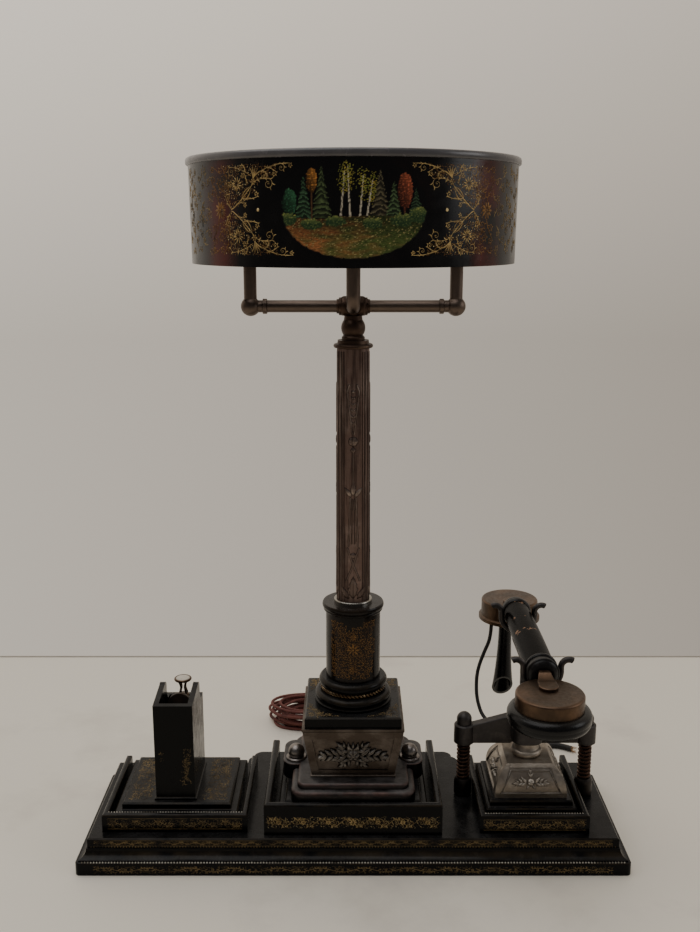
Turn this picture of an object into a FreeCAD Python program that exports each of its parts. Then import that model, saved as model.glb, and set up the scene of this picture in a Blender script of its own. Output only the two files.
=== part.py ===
import FreeCAD, Part
import math
import os

V = FreeCAD.Vector

# Desk set: a table lamp, a desk telephone and a match case on one stepped lacquer base.
# Millimetres. Origin at the middle of the base's underside, +X to the right, +Y to the back, +Z up.

# Clearances
seat_gap = 0.3          # between pieces that part when something moves
slide_fit = 0.1         # radial room of a sliding rod
turn_fit = 0.05         # radial room of a turning spindle
edge_round = 1.2        # softened lacquer edges

# Base
base_w = 450.0
base_d = 143.0
bay_w = 184.0           # the deck runs further back behind the lamp
bay_y = 82.0            # the bay's rear face
bay_corner = 8.0
board_h = 11.0
board_corner = 4.0
tier_inset = 9.0        # from the board's edge to the tier's face
cove_h = 8.3
cove_out = 6.5
tier_h = 8.3
pocket_w = 90.0
pocket_d = 50.0
pocket_h = 8.0
terminal_w = 26.0
terminal_d = 16.0
terminal_h = 6.0
terminal_x = -28.0
terminal_slot = 5.0
cover_t = 1.5
cover_lip = 5.0

# Trays and their plinths
left_gap_share = 13.9 / 24.4     # of the deck's spare length at the left, how much lies beside the lamp's tray
left_y = -3.0
left_tray_w = 119.0
left_tray_d = 100.0
left_tray_h = 15.8
tray_wall = 5.0
tray_round = 0.44       # rounding of the galleries' tops, as a share of their thickness
left_plinth_w = 89.6
left_plinth_d = 78.0
left_plinth_low = 14.0
left_plinth_top = 5.9
plinth_step = 6.0
lamp_tray_w = 145.2
lamp_tray_d = 112.0
lamp_tray_y = -1.4
lamp_tray_h = 27.5
lamp_tray_wall = 6.0
sub_plinth_w = 112.0
sub_plinth_d = 88.0
sub_plinth_low = 16.0
sub_plinth_top = 8.4
phone_gap_share = 15.7 / 23.0    # the same at the right, up to the telephone's spring cup
phone_tray_y = -3.4
phone_tray_w = 89.4
phone_tray_d = 102.8
phone_tray_h = 15.9
phone_plinth_w = 68.5
phone_plinth_d = 68.5
phone_plinth_low = 13.4
phone_plinth_top = 5.0

# Match case
case_shift = -1.2       # off the middle of its plinth
case_w = 32.4
case_d = 59.0
case_y = -6.5
case_h = 83.5
case_wall = 4.4
case_floor = 3.0
case_peak = 4.0         # the cheeks' highest point above the front wall
case_rear_drop = 15.0   # how far the rear wall lies under the front wall
skirt_out = 1.3
skirt_h = 2.5
liner_y = 0.0
liner_t = 3.0
liner_w = 20.0
liner_top = 75.5        # arch top above the case floor
wand_x = 1.5            # from the middle of the case
wand_y = 11.0
wand_r = 2.5
wand_collar_r = 5.2
wand_disc_r = 7.5
wand_disc_t = 2.6
wand_neck_h = 12.0
socket_r = 5.0
socket_h = 67.0

# Lamp plinth and pedestal
plinth_w = 102.4
plinth_corner = 10.0
plinth_body_h = 10.0
plinth_shoulder = 4.0
plinth_step_w = 92.0
plinth_step_corner = 7.0
plinth_bead = 3.0
plinth_step_h = 5.0
lobe_r = 11.2
lobe_h = 14.0
lobe_back = 33.0        # how far the lobes run back
knob_x = 48.5
knob_ball_r = 7.0
knob_flange_r = 8.8
knob_flange_h = 2.2
knob_neck_r = 6.0
knob_spindle_r = 3.0
knob_spindle_l = 9.0
die_foot_w = 68.0
die_top_w = 82.5
die_h = 43.5
die_flange_h = 2.5
die_flange_out = 0.6
die_ledge_h = 2.0
die_ledge_out = 1.2
die_panel_margin = 6.5
die_panel_depth = 1.2
relief_w = 58.0
relief_h = 25.0
relief_t = 4.0
slab_w = 79.0
slab_h = 9.4

# Column
tie_rod_r = 5.0
tie_nut_r = 9.0
tie_nut_h = 5.0
foot_r = 32.2
foot_flange_h = 2.6
foot_torus_h = 7.2
foot_neck_r = 23.6
foot_neck_h = 4.4
foot_crown_r = 28.6
foot_crown_h = 7.4
rope_r = 1.9
drum_r = 22.6
drum_h = 58.0
cap_r = 25.5
cap_h = 7.0
cap_under_r = 23.8
ring_r = 15.6
ring_h = 3.0
column_foot_half = 13.3
column_top_half = 12.65
column_corner_r = 15.0
column_h = 207.0
column_relief_w = 13.0
column_relief_l = 172.0
column_relief_t = 1.2
column_relief_up = 4.0
capital_r = 15.6
capital_h = 6.0
neck_r = 9.5
neck_h = 19.0

# Lamp head
hub_r = 7.9
hub_half = 13.0
arm_r = 4.7
arm_reach = 80.0
ball_r = 7.6
ball_socket = 3.2
post_r = 5.0
post_h = 36.0
stem_r = 5.4
stem_bend = 10.0
stem_stud_r = 3.0
stem_stud_h = 5.5
stem_nut_r = 6.0
holder_r = 14.0
holder_h = 22.0
bulb_r = 20.0
bulb_neck_r = 11.0
bulb_drop = 22.0        # from the bulb's middle down to its neck
shade_lift = 33.6       # shade's lower edge above the arms
shade_foot_r = 123.0
shade_top_r = 124.0
shade_h = 68.4
shade_wall_t = 3.0
rim_r = 126.0
rim_inner_r = 116.0
rim_h = 8.0
spider_disc_r = 27.0
spider_t = 3.5
spider_arm_w = 9.0

# Telephone
bell_y = -2.0
bell_w = 60.0
bell_top_w = 38.0
bell_h = 26.0
bell_foot_h = 2.4
bell_wall = 3.0
bell_panel_margin = 5.0
bell_panel_depth = 1.0
bell_relief_r = 7.5
bell_relief_t = 1.8
collar_r = 13.1
collar_neck_r = 9.4
collar_h = 12.0
yoke_y = 7.5
yoke_rise = 5.6         # the bar's underside above the bell's top
yoke_reach = 52.6
yoke_boss_r = 8.6
yoke_boss_h = 17.0
yoke_cap_r = 6.4
yoke_cap_h = 5.0
yoke_dome_h = 5.5
yoke_end_h = 16.2
yoke_hub_h = 25.8
yoke_hub_w = 26.0
yoke_hub_d = 26.0
yoke_bar_d = 9.0
yoke_lift = 5.0
guide_r = 3.5
guide_top_room = 6.0
cup_r = 7.6
cup_h = 16.4
cup_top_r = 6.2
spring_r = 5.0
spring_wire_r = 0.95
spring_turns = 10
spring_end = 0.5        # upright ends on the cup and under the yoke
spring_bend = 3.0       # rise of the bend into the coil
switch_stem_r = 4.0
contact_w = 16.0
contact_d = 10.0
contact_h = 8.0
contact_leaf_t = 1.2
cradle_post_r = 6.0
fork_front_y = -56.0
fork_rear_y = 65.0
fork_rod_r = 2.5
fork_curl_r = 6.0
fork_rise = 4.0         # straight run of the horns above the handle's axis
cradle_bar_w = 8.0
cradle_bar_h = 9.0

# Handset
handle_z = 170.5
handle_r = 12.0
handle_front_y = -49.0
handle_rear_y = 72.0
collar_bead_r = 13.2
collar_front_l = 14.0
collar_rear_l = 12.0
groove_w = 6.4
ear_y = -91.0
mic_y = 115.0
cup_shell_r = 26.25
ear_cup_h = 11.5
mic_cup_h = 19.0
cup_top_drop = 1.5      # from the handle's axis down to the cups' tops
cup_wall = 2.0
ear_cap_r = 31.75
ear_cap_h = 14.5
ear_hole_r = 6.0
mic_flange_r = 28.5
mic_flange_h = 4.0
strap_w = 14.4
strap_neck_w = 8.8
strap_reach = 27.0
strap_t = 2.5
strap_rise = 4.6        # of the tongues at the collars, above the handle's axis
strap_round = 1.0
collar_nose = 1.2       # how far the front collar's rounded end stands out
horn_neck_r = 6.2
horn_mouth_r = 12.4
horn_l = 84.0
horn_wall = 1.6
horn_shift = -4.0       # off the handset's middle
horn_side = 1.0
horn_y = 109.0
horn_cut_angle = 53.0
horn_cut_share = 0.78   # how far down the horn's axis its mouth is cut

# Cords
handset_cord_r = 1.7
line_cord_r = 2.75
lamp_cord_r = 1.5
gland_l = 20.0
gland_r = 5.0
cord_lift = 0.1         # cords lie this far above the table
hank_x = -39.0
hank_y = 203.0
hank_run = 40.0
hank_inner = 17.5
hank_pitch = 3.6
hank_loops = 2
hank_layers = 6
hank_tail = 10.0
hank_lead = 16.0
plug_reach = 26.0       # from the hank's last run to the plug
plug_r = 13.0
plug_l = 26.0
pin_r = 2.0
pin_l = 14.0
pin_gap = 19.0 / 2

# Heights worked out from the sizes above
deck = board_h + cove_h + tier_h
tier_w = base_w - 2 * tier_inset
side_room = (tier_w - lamp_tray_w) / 2
left_x = -(lamp_tray_w / 2 + (side_room - left_tray_w) * left_gap_share + left_tray_w / 2)
case_x = left_x + case_shift
phone_reach = yoke_reach + cup_r
phone_x = lamp_tray_w / 2 + (side_room - 2 * phone_reach) * phone_gap_share + phone_reach
tier_d = base_d - 2 * tier_inset
left_plinth_z = deck + left_plinth_low + left_plinth_top
case_front_z = left_plinth_z + case_h
case_floor_z = left_plinth_z + case_floor
sub_plinth_z = deck + sub_plinth_low + sub_plinth_top
plinth_body_z = sub_plinth_z + plinth_body_h
plinth_z = plinth_body_z + plinth_step_h
lobe_z = sub_plinth_z + lobe_h
die_z = plinth_z + die_h
slab_foot_z = die_z + die_flange_h
slab_z = slab_foot_z + slab_h
foot_torus_z = slab_z + foot_flange_h + foot_torus_h
foot_neck_z = foot_torus_z + foot_neck_h
foot_z = foot_neck_z + foot_crown_h
drum_z = foot_z + drum_h
cap_z = drum_z + cap_h
ring_z = cap_z + ring_h
column_z = ring_z + column_h
capital_z = column_z + capital_h
neck_z = capital_z + neck_h
hub_z = neck_z + hub_r - slide_fit * 9
shade_z = hub_z + shade_lift
rim_foot_z = shade_z + shade_h
rim_z = rim_foot_z + rim_h
phone_plinth_z = deck + phone_plinth_low + phone_plinth_top
bell_z = phone_plinth_z + bell_h
collar_z = bell_z + collar_h
yoke_z = bell_z + yoke_rise
yoke_hub_z = collar_z + seat_gap + slide_fit
bay_rear = bay_y + tier_inset
cup_z = deck + cup_h
cup_top_z = handle_z - cup_top_drop
rod_hole_r = tie_rod_r + slide_fit


def box(x0, x1, y0, y1, z0, z1):
    return Part.makeBox(x1 - x0, y1 - y0, z1 - z0, V(x0, y0, z0))


def disc(radius, z0, z1, x=0.0, y=0.0):
    return Part.makeCylinder(radius, z1 - z0, V(x, y, z0))


def ball(radius, x, y, z):
    return Part.makeSphere(radius, V(x, y, z))


def fuse(shapes):
    whole = shapes[0]
    for shape in shapes[1:]:
        whole = whole.fuse(shape)
    return whole.removeSplitter()


def rounded_slab(width, depth, corner, z0, z1, x=0.0, y=0.0):
    slab = box(x - width / 2, x + width / 2, y - depth / 2, y + depth / 2, z0, z1)
    upright = [e for e in slab.Edges if abs(e.tangentAt(e.FirstParameter).z) > 0.9]
    return slab.makeFillet(corner, upright)


def outline(start, steps, place):
    # steps are (a, b) for a straight edge or (mid_a, mid_b, a, b) for an arc through the middle point
    edges = []
    here = start
    for step in steps:
        there = step[-2:]
        if len(step) == 4:
            edges.append(Part.Arc(place(*here), place(*step[:2]), place(*there)).toShape())
        else:
            edges.append(Part.LineSegment(place(*here), place(*there)).toShape())
        here = there
    return edges


def dome(radius, z, height):
    # arc step of a spherical cap that closes a turned profile on its axis
    full = (radius ** 2 + height ** 2) / (2 * height)
    centre = z + height - full
    middle = (math.atan2(z - centre, radius) + math.pi / 2) / 2
    return (full * math.cos(middle), centre + full * math.sin(middle), 0.0, z + height)


def turned(steps, x=0.0, y=0.0):
    # profile of (radius, height) steps turned about a vertical axis
    start = steps[0]
    closing = [(0.0, start[1]), start]
    if steps[-1][-2] > 0:
        closing.insert(0, (0.0, steps[-1][-1]))
    edges = outline(start, steps[1:] + closing, lambda r, z: V(r, 0, z))
    solid = Part.Face(Part.Wire(edges)).revolve(V(0, 0, 0), V(0, 0, 1), 360)
    solid.translate(V(x, y, 0))
    return solid


def turned_along_y(steps, x, z):
    solid = turned(steps)
    solid.rotate(V(0, 0, 0), V(1, 0, 0), -90)
    solid.translate(V(x, 0, z))
    return solid


def turned_along_x(steps, y, z):
    solid = turned(steps)
    solid.rotate(V(0, 0, 0), V(0, 1, 0), 90)
    solid.translate(V(0, y, z))
    return solid


def moulded(x, y, width, depth, steps):
    # a block whose four sides carry one moulding with mitred corners; steps are (out from the side, height)
    def bar(half, length, place, sweep):
        right = [tuple(s + (half if i % 2 == 0 else 0) for i, s in enumerate(step)) for step in steps]
        left = [tuple(-s if i % 2 == 0 else s for i, s in enumerate(step)) for step in right]
        edges = outline(right[0], right[1:], place)
        edges += outline(right[-1][-2:], [left[-1][-2:]], place)
        edges += outline(left[0], left[1:], place)
        edges += outline(left[0], [right[0]], place)
        face = Part.Face(Part.Wire(Part.__sortEdges__(edges)))
        return face.extrude(sweep * length)

    reach = max(width, depth)
    along_y = bar(width / 2, 2 * reach, lambda a, z: V(x + a, y - reach, z), V(0, 1, 0))
    along_x = bar(depth / 2, 2 * reach, lambda a, z: V(x - reach, y + a, z), V(1, 0, 0))
    return along_y.common(along_x)


def tray(x, y, width, depth, height, wall):
    # a gallery of a front wall and two side walls on the tier, open at the back
    top = deck + height
    inner = width / 2 - wall
    shell = box(x - width / 2, x + width / 2, y - depth / 2, y + depth / 2, deck, top)
    shell = shell.cut(box(x - inner, x + inner, y - depth / 2 + wall, y + depth, deck - 1, top + 1))
    return shell.makeFillet(wall * tray_round, [e for e in shell.Edges if e.BoundBox.ZMin > top - 0.01])


def stepped_plinth(x, y, width, depth, step, low_h, top_h):
    low = deck + low_h
    top = low + top_h
    return moulded(x, y, width, depth, [
        (step, deck), (step, low - edge_round), (step - edge_round, low), (edge_round, low),
        (edge_round * 0.3, low + edge_round * 0.3, 0.0, low + edge_round),
        (0.0, top - edge_round), (-edge_round, top)])


def rod_bore(z0, z1):
    return disc(rod_hole_r, z0, z1)


def tube(path, radius):
    wire = Part.Wire(path)
    first = path[0]
    start = first.valueAt(first.FirstParameter)
    heading = first.tangentAt(first.FirstParameter)
    ring = Part.Wire([Part.Circle(start, heading, radius).toShape()])
    return wire.makePipeShell([ring], True, False)


def cord_path(points):
    # straight runs joined by the largest tangent arcs that the runs leave room for
    spots = [V(*p) for p in points]
    edges = []
    radii = []
    here = spots[0]
    for before, corner, after in zip(spots, spots[1:], spots[2:]):
        back = (before - corner)
        on = (after - corner)
        turn = math.pi - back.getAngle(on)
        cut = 0.45 * min(back.Length, on.Length)
        radius = cut / math.tan(turn / 2)
        back.normalize()
        on.normalize()
        enter = corner + back * cut
        leave = corner + on * cut
        inward = (back + on).normalize()
        middle = corner + inward * (radius / math.cos(turn / 2) - radius)
        edges.append(Part.LineSegment(here, enter).toShape())
        edges.append(Part.Arc(enter, middle, leave).toShape())
        radii.append(radius)
        here = leave
    edges.append(Part.LineSegment(here, spots[-1]).toShape())
    return edges, radii


def cord(name, points, radius):
    edges, radii = cord_path(points)
    solid = tube(edges, radius)
    length = sum(e.Length for e in edges)
    share = solid.Volume / (math.pi * radius ** 2 * length)
    print(f"{name}: length {length:.1f}, least radius {min(radii):.1f}, volume share {share:.4f}")
    return solid


def biarc(p0, t0, p1, t1):
    # two tangent arcs from p0, heading t0, to p1, heading t1
    chord = p1 - p0
    headings = t0 + t1
    a = headings.dot(headings) - 4
    b = -2 * chord.dot(headings)
    c = chord.dot(chord)
    if abs(a) < 1e-9:
        reach = -c / b
    else:
        reach = (-b - math.sqrt(b * b - 4 * a * c)) / (2 * a)
    q0 = p0 + t0 * reach
    q1 = p1 - t1 * reach
    joint = (q0 + q1) * 0.5

    def arc(start, knee, end):
        centre = (start + end) * 0.5
        half = (start - centre).Length / reach
        drop = reach * math.tan(math.acos(min(1.0, half)) / 2)
        middle = knee + (centre - knee).normalize() * drop
        return Part.Arc(start, middle, end).toShape()

    return [arc(p0, q0, joint), arc(joint, q1, p1)]


def least_self_gap(edges, diameter):
    # least distance between stretches of one tube that lie more than a few diameters apart along it
    spots = []
    run = 0.0
    for edge in edges:
        count = max(2, int(edge.Length / (diameter * 0.5)))
        for i in range(count):
            at = edge.FirstParameter + (edge.LastParameter - edge.FirstParameter) * i / count
            spots.append((run + edge.Length * i / count, edge.valueAt(at)))
        run += edge.Length
    least = 1e9
    for i, (s0, p0) in enumerate(spots):
        for s1, p1 in spots[i + 1:]:
            if s1 - s0 > 5 * diameter:
                least = min(least, (p1 - p0).Length)
    return least - diameter


# Base

def base_board():
    board = rounded_slab(base_w, base_d, board_corner, 0.0, board_h)
    bay = rounded_slab(bay_w + 2 * tier_inset, bay_rear, bay_corner, 0.0, board_h, 0.0, bay_rear / 2)
    board = fuse([board, bay])
    top_rim = [e for e in board.Edges if e.BoundBox.ZMin > board_h - 0.01]
    board = board.makeFillet(edge_round, top_rim)
    pocket = box(-pocket_w / 2, pocket_w / 2, -pocket_d / 2, pocket_d / 2, -1.0, pocket_h)
    ledge = box(-pocket_w / 2 - cover_lip, pocket_w / 2 + cover_lip, -pocket_d / 2 - cover_lip,
                pocket_d / 2 + cover_lip, -1.0, cover_t)
    return board.cut(pocket).cut(ledge).cut(rod_bore(0.0, board_h + 1))


def base_cover():
    # closes the pocket flush with the underside
    half_w = pocket_w / 2 + cover_lip - slide_fit
    half_d = pocket_d / 2 + cover_lip - slide_fit
    return box(-half_w, half_w, -half_d, half_d, 0.0, cover_t)


def base_tier():
    cove_z = board_h + cove_h
    lip = edge_round * 0.8
    block = moulded(0.0, 0.0, tier_w, tier_d, [
        (cove_out, board_h), (cove_out, board_h + lip),
        (cove_out * 0.38, board_h + cove_h * 0.42, lip, cove_z - lip), (lip, cove_z), (0.0, cove_z),
        (0.0, deck - lip), (-lip, deck)])
    foot_d = bay_y + cove_out
    foot = rounded_slab(bay_w + 2 * cove_out, foot_d, bay_corner, board_h, cove_z, 0.0, foot_d / 2)
    bay = rounded_slab(bay_w, bay_y, bay_corner, cove_z, deck, 0.0, bay_y / 2)
    return fuse([block, foot, bay]).cut(rod_bore(0.0, deck + 1))


def terminal_block():
    low = pocket_h - terminal_h
    block = box(terminal_x - terminal_w / 2, terminal_x + terminal_w / 2,
                -terminal_d / 2, terminal_d / 2, low, pocket_h)
    channel = box(terminal_x - terminal_w / 2 - 1, terminal_x + terminal_w / 2 + 1,
                  -terminal_slot / 2, terminal_slot / 2, low - 1, low + terminal_h / 2)
    return block.cut(channel)


# Match case group

def match_case():
    front = case_y - case_d / 2
    rear = case_y + case_d / 2
    low = left_plinth_z
    top = case_front_z
    peak = top + case_peak
    back = top - case_rear_drop
    rise = front + case_d * 0.56
    side = outline((front, low), [
        (front, top), (rise, peak - 0.4), (rise + 6.0, peak - 0.2, rise + 9.5, peak - 5.5),
        (rise + 11.5, back + 3.5, rise + 15.5, back), (rear, back), (rear, low), (front, low)],
        lambda y, z: V(case_x - case_w / 2, y, z))
    body = Part.Face(Part.Wire(side)).extrude(V(case_w, 0, 0))
    skirt = moulded(case_x, case_y, case_w, case_d, [
        (skirt_out, low), (skirt_out, low + skirt_h * 0.5),
        (skirt_out * 0.4, low + skirt_h * 0.6, 0.0, low + skirt_h)])
    inner_x = case_w / 2 - case_wall
    well = box(case_x - inner_x, case_x + inner_x, front + case_wall, rear - case_wall, case_floor_z, peak + 1)
    return fuse([body, skirt]).cut(well)


def match_liner():
    half = liner_w / 2
    front = liner_y - liner_t / 2
    spring = case_floor_z + liner_top - half
    arch = outline((-half, case_floor_z), [
        (-half, spring), (0.0, spring + half, half, spring), (half, case_floor_z), (-half, case_floor_z)],
        lambda x, z: V(case_x + x, front, z))
    return Part.Face(Part.Wire(arch)).extrude(V(0, liner_t, 0))


def wand_socket():
    x = case_x + wand_x
    sleeve = disc(socket_r, case_floor_z, case_floor_z + socket_h, x, wand_y)
    return sleeve.cut(disc(wand_r + slide_fit, case_floor_z + 2, case_floor_z + socket_h + 1, x, wand_y))


def striker_wand():
    seat = case_floor_z + socket_h + seat_gap
    neck = seat + 3.0
    head = neck + wand_neck_h
    return turned([
        (wand_r, case_floor_z + 5), (wand_r, seat), (wand_collar_r, seat), (wand_collar_r, neck - 1),
        (wand_collar_r - 1, neck), (2.2, neck + wand_neck_h * 0.45, 4.4, head),
        (wand_disc_r - 0.8, head), (wand_disc_r, head + wand_disc_t * 0.5, wand_disc_r - 0.8, head + wand_disc_t)],
        case_x + wand_x, wand_y)


# Lamp pedestal

def sub_plinth():
    block = stepped_plinth(0.0, lamp_tray_y, sub_plinth_w, sub_plinth_d, plinth_step,
                           sub_plinth_low, sub_plinth_top)
    return block.cut(rod_bore(0.0, sub_plinth_z + 1))


def lamp_plinth():
    body = rounded_slab(plinth_w, plinth_w, plinth_corner, sub_plinth_z, plinth_body_z)
    top_rim = [e for e in body.Edges if e.BoundBox.ZMin > plinth_body_z - 0.01]
    body = body.makeFillet(plinth_shoulder, top_rim)
    step = rounded_slab(plinth_step_w, plinth_step_w, plinth_step_corner, plinth_body_z - 0.5, plinth_z)
    step_rim = [e for e in step.Edges if e.BoundBox.ZMin > plinth_z - 0.01]
    step = step.makeFillet(plinth_bead, step_rim)
    lobes = []
    for side in (-1, 1):
        lobe = rounded_slab(2 * lobe_r, lobe_r + lobe_back, lobe_r * 0.9, sub_plinth_z, lobe_z,
                            side * knob_x, (lobe_back - lobe_r) / 2)
        lobes.append(lobe.makeFillet(edge_round, [e for e in lobe.Edges if e.BoundBox.ZMin > lobe_z - 0.01]))
    whole = fuse([body, step] + lobes)
    for side in (-1, 1):
        x = side * knob_x
        whole = whole.cut(disc(knob_flange_r + seat_gap, lobe_z, plinth_z + 1, x))
        whole = whole.cut(disc(knob_spindle_r + turn_fit, lobe_z - knob_spindle_l - 1, lobe_z + 1, x))
    return whole.cut(rod_bore(0.0, plinth_z + 1))


def knob(side):
    seat = lobe_z + seat_gap
    flange = seat + knob_flange_h
    centre = flange + math.sqrt(knob_ball_r ** 2 - knob_neck_r ** 2)
    return turned([
        (knob_spindle_r, lobe_z - knob_spindle_l), (knob_spindle_r, seat), (knob_flange_r, seat),
        (knob_flange_r, flange - 0.8), (knob_flange_r - 0.8, flange), (knob_neck_r, flange),
        (knob_ball_r, centre, 0.0, centre + knob_ball_r)], side * knob_x)


def taper_block(low_w, top_w, z0, z1):
    def square(width, z):
        h = width / 2
        return Part.makePolygon([V(-h, -h, z), V(h, -h, z), V(h, h, z), V(-h, h, z), V(-h, -h, z)])
    return Part.makeLoft([square(low_w, z0), square(top_w, z1)], True, True)


def die_slope():
    return (die_top_w - die_foot_w) / 2 / die_h


def pedestal_die():
    block = taper_block(die_foot_w, die_top_w, plinth_z, die_z)
    flange = moulded(0.0, 0.0, die_top_w, die_top_w, [
        (0.0, die_z), (die_flange_out, die_z + die_flange_h * 0.4), (die_flange_out, slab_foot_z)])
    ledge = moulded(0.0, 0.0, die_foot_w, die_foot_w, [
        (die_ledge_out, plinth_z), (die_ledge_out, plinth_z + die_ledge_h * 0.6), (0.0, plinth_z + die_ledge_h)])
    block = fuse([block, flange, ledge])
    low = plinth_z + die_panel_margin
    high = die_z - die_panel_margin

    def face_half(z):
        return die_foot_w / 2 + (z - plinth_z) * die_slope()

    def corner(x, z):
        return V(x, -face_half(z), z)

    low_x = face_half(low) - die_panel_margin
    high_x = face_half(high) - die_panel_margin
    panel = Part.Face(Part.makePolygon([
        corner(-low_x, low), corner(low_x, low), corner(high_x, high), corner(-high_x, high),
        corner(-low_x, low)]))
    recess = panel.extrude(V(0, die_panel_depth, 0))
    recess = recess.fuse(panel.extrude(V(0, -die_panel_depth, 0)))
    for quarter in range(4):
        cutter = recess.copy()
        cutter.rotate(V(0, 0, 0), V(0, 0, 1), 90 * quarter)
        block = block.cut(cutter)
    return block.cut(rod_bore(0.0, slab_foot_z + 1))


def pedestal_relief():
    # a low oval boss in the front panel, which carries the leaf carving
    middle = plinth_z + die_h * 0.5
    plaque = Part.makeSphere(1.0)
    stretch = FreeCAD.Matrix()
    stretch.scale(relief_w / 2, relief_t, relief_h / 2)
    plaque = plaque.transformGeometry(stretch)
    lean = math.degrees(math.atan(die_slope()))
    keep = box(-relief_w, relief_w, -relief_w, 0.0, -relief_w, relief_w)
    plaque = plaque.common(keep)
    plaque.rotate(V(0, 0, 0), V(1, 0, 0), lean)
    plaque.translate(V(0, -die_foot_w / 2 - die_h * 0.5 * die_slope() + die_panel_depth, middle))
    return plaque


def pedestal_slab():
    slab = moulded(0.0, 0.0, slab_w, slab_w, [
        (0.0, slab_foot_z), (0.0, slab_z - edge_round), (-edge_round, slab_z)])
    return slab.cut(rod_bore(0.0, slab_z + 1))


# Lamp column

def column_foot():
    torus_low = slab_z + foot_flange_h
    profile = [
        (foot_r, slab_z), (foot_r, torus_low - 0.8), (foot_r - 1.6, torus_low),
        (foot_r - 0.3, torus_low + foot_torus_h * 0.45, foot_neck_r + 5.2, foot_torus_z),
        (foot_neck_r, foot_torus_z), (foot_neck_r, foot_neck_z), (foot_crown_r - 1.4, foot_neck_z),
        (foot_crown_r, foot_neck_z + foot_crown_h * 0.45, foot_crown_r - 2.4, foot_z)]
    return turned(profile).cut(rod_bore(0.0, foot_z + 1))


def rope_ring():
    middle = (foot_torus_z + foot_neck_z) / 2
    return Part.makeTorus(foot_neck_r + slide_fit + rope_r, rope_r, V(0, 0, middle))


def drum():
    return disc(drum_r, foot_z, drum_z).cut(rod_bore(0.0, drum_z + 1))


def drum_cap():
    under = drum_z + cap_h * 0.36
    profile = [
        (cap_under_r, drum_z), (cap_under_r + 0.7, drum_z + cap_h * 0.18, cap_under_r, under),
        (cap_r - 0.8, under), (cap_r, (under + cap_z) / 2, cap_r - 0.8, cap_z)]
    return turned(profile).cut(rod_bore(0.0, cap_z + 1))


def column_ring():
    profile = [(ring_r, cap_z), (ring_r, cap_z + ring_h * 0.4),
               (ring_r - 0.2, ring_z - 0.3, ring_r - 0.8, ring_z)]
    return turned(profile).cut(rod_bore(0.0, ring_z + 1))


def column():
    shaft = taper_block(2 * column_foot_half, 2 * column_top_half, ring_z, column_z)
    return shaft.common(disc(column_corner_r, ring_z, column_z)).cut(rod_bore(0.0, column_z + 1))


def column_relief():
    # one long raised leaf on each of the four faces, leaning with the taper
    low = ring_z + column_relief_up
    high = low + column_relief_l
    widest = low + column_relief_l * 0.3
    half = column_relief_w / 2
    leaf = outline((0.0, low), [
        (half * 0.8, low + column_relief_l * 0.1, half, widest),
        (half * 0.55, high - column_relief_l * 0.3, 0.0, high),
        (-half * 0.55, high - column_relief_l * 0.3, -half, widest),
        (-half * 0.8, low + column_relief_l * 0.1, 0.0, low)], lambda x, z: V(x, 0, z))
    blank = Part.Face(Part.Wire(leaf)).extrude(V(0, -column_relief_t, 0))
    slope = (column_foot_half - column_top_half) / column_h
    blank.rotate(V(0, 0, ring_z), V(1, 0, 0), -math.degrees(math.atan(slope)))
    blank.translate(V(0, -column_foot_half, 0))
    leaves = []
    for quarter in range(4):
        turned_leaf = blank.copy()
        turned_leaf.rotate(V(0, 0, 0), V(0, 0, 1), 90 * quarter)
        leaves.append(turned_leaf)
    return Part.makeCompound(leaves)


def neck():
    bead_low = capital_z + neck_h * 0.2
    bead_high = capital_z + neck_h * 0.82
    profile = [
        (capital_r - 1.0, column_z),
        (capital_r, column_z + capital_h * 0.25, capital_r - 1.0, column_z + capital_h * 0.5),
        (capital_r - 3.0, column_z + capital_h * 0.55), (capital_r - 3.4, capital_z),
        (neck_r - 0.4, capital_z), (neck_r - 0.4, bead_low - 1.6), (neck_r - 1.8, bead_low),
        (neck_r, (bead_low + bead_high) / 2, neck_r - 2.2, bead_high), (hub_r - 0.9, neck_z)]
    return turned(profile).cut(rod_bore(0.0, neck_z - neck_h * 0.3))


def tie_rod():
    rod = disc(tie_rod_r, pocket_h - tie_nut_h - 1, neck_z - neck_h * 0.3 - seat_gap)
    nut = Part.Face(Part.makePolygon([
        V(tie_nut_r * math.cos(math.radians(60 * i)), tie_nut_r * math.sin(math.radians(60 * i)),
          pocket_h - tie_nut_h) for i in range(7)])).extrude(V(0, 0, tie_nut_h))
    nut = nut.cut(disc(tie_rod_r + turn_fit, 0.0, pocket_h + 1))
    return Part.makeCompound([rod, nut])


# Lamp head

def hub():
    half = [(arm_r + 0.9, hub_half), (arm_r + 0.9, hub_half - 1.6), (arm_r + 2.2, hub_half - 2.0),
            (arm_r + 2.2, hub_half - 3.6), (hub_r - 0.4, hub_half - 4.4), (hub_r, hub_half - 5.6)]
    right = [(r, x) for r, x in reversed(half)]
    left = [(r, -x) for r, x in half]
    spindle = turned_along_x(left + right, 0.0, hub_z)
    spindle = spindle.cut(box(-hub_half, hub_half, -hub_r, hub_r, hub_z - 2 * hub_r, neck_z))
    cross = Part.makeCylinder(stem_r + 1.0, 2 * stem_bend * 0.8, V(0, -stem_bend * 0.8, hub_z), V(0, 1, 0))
    return fuse([spindle, cross])


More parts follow.
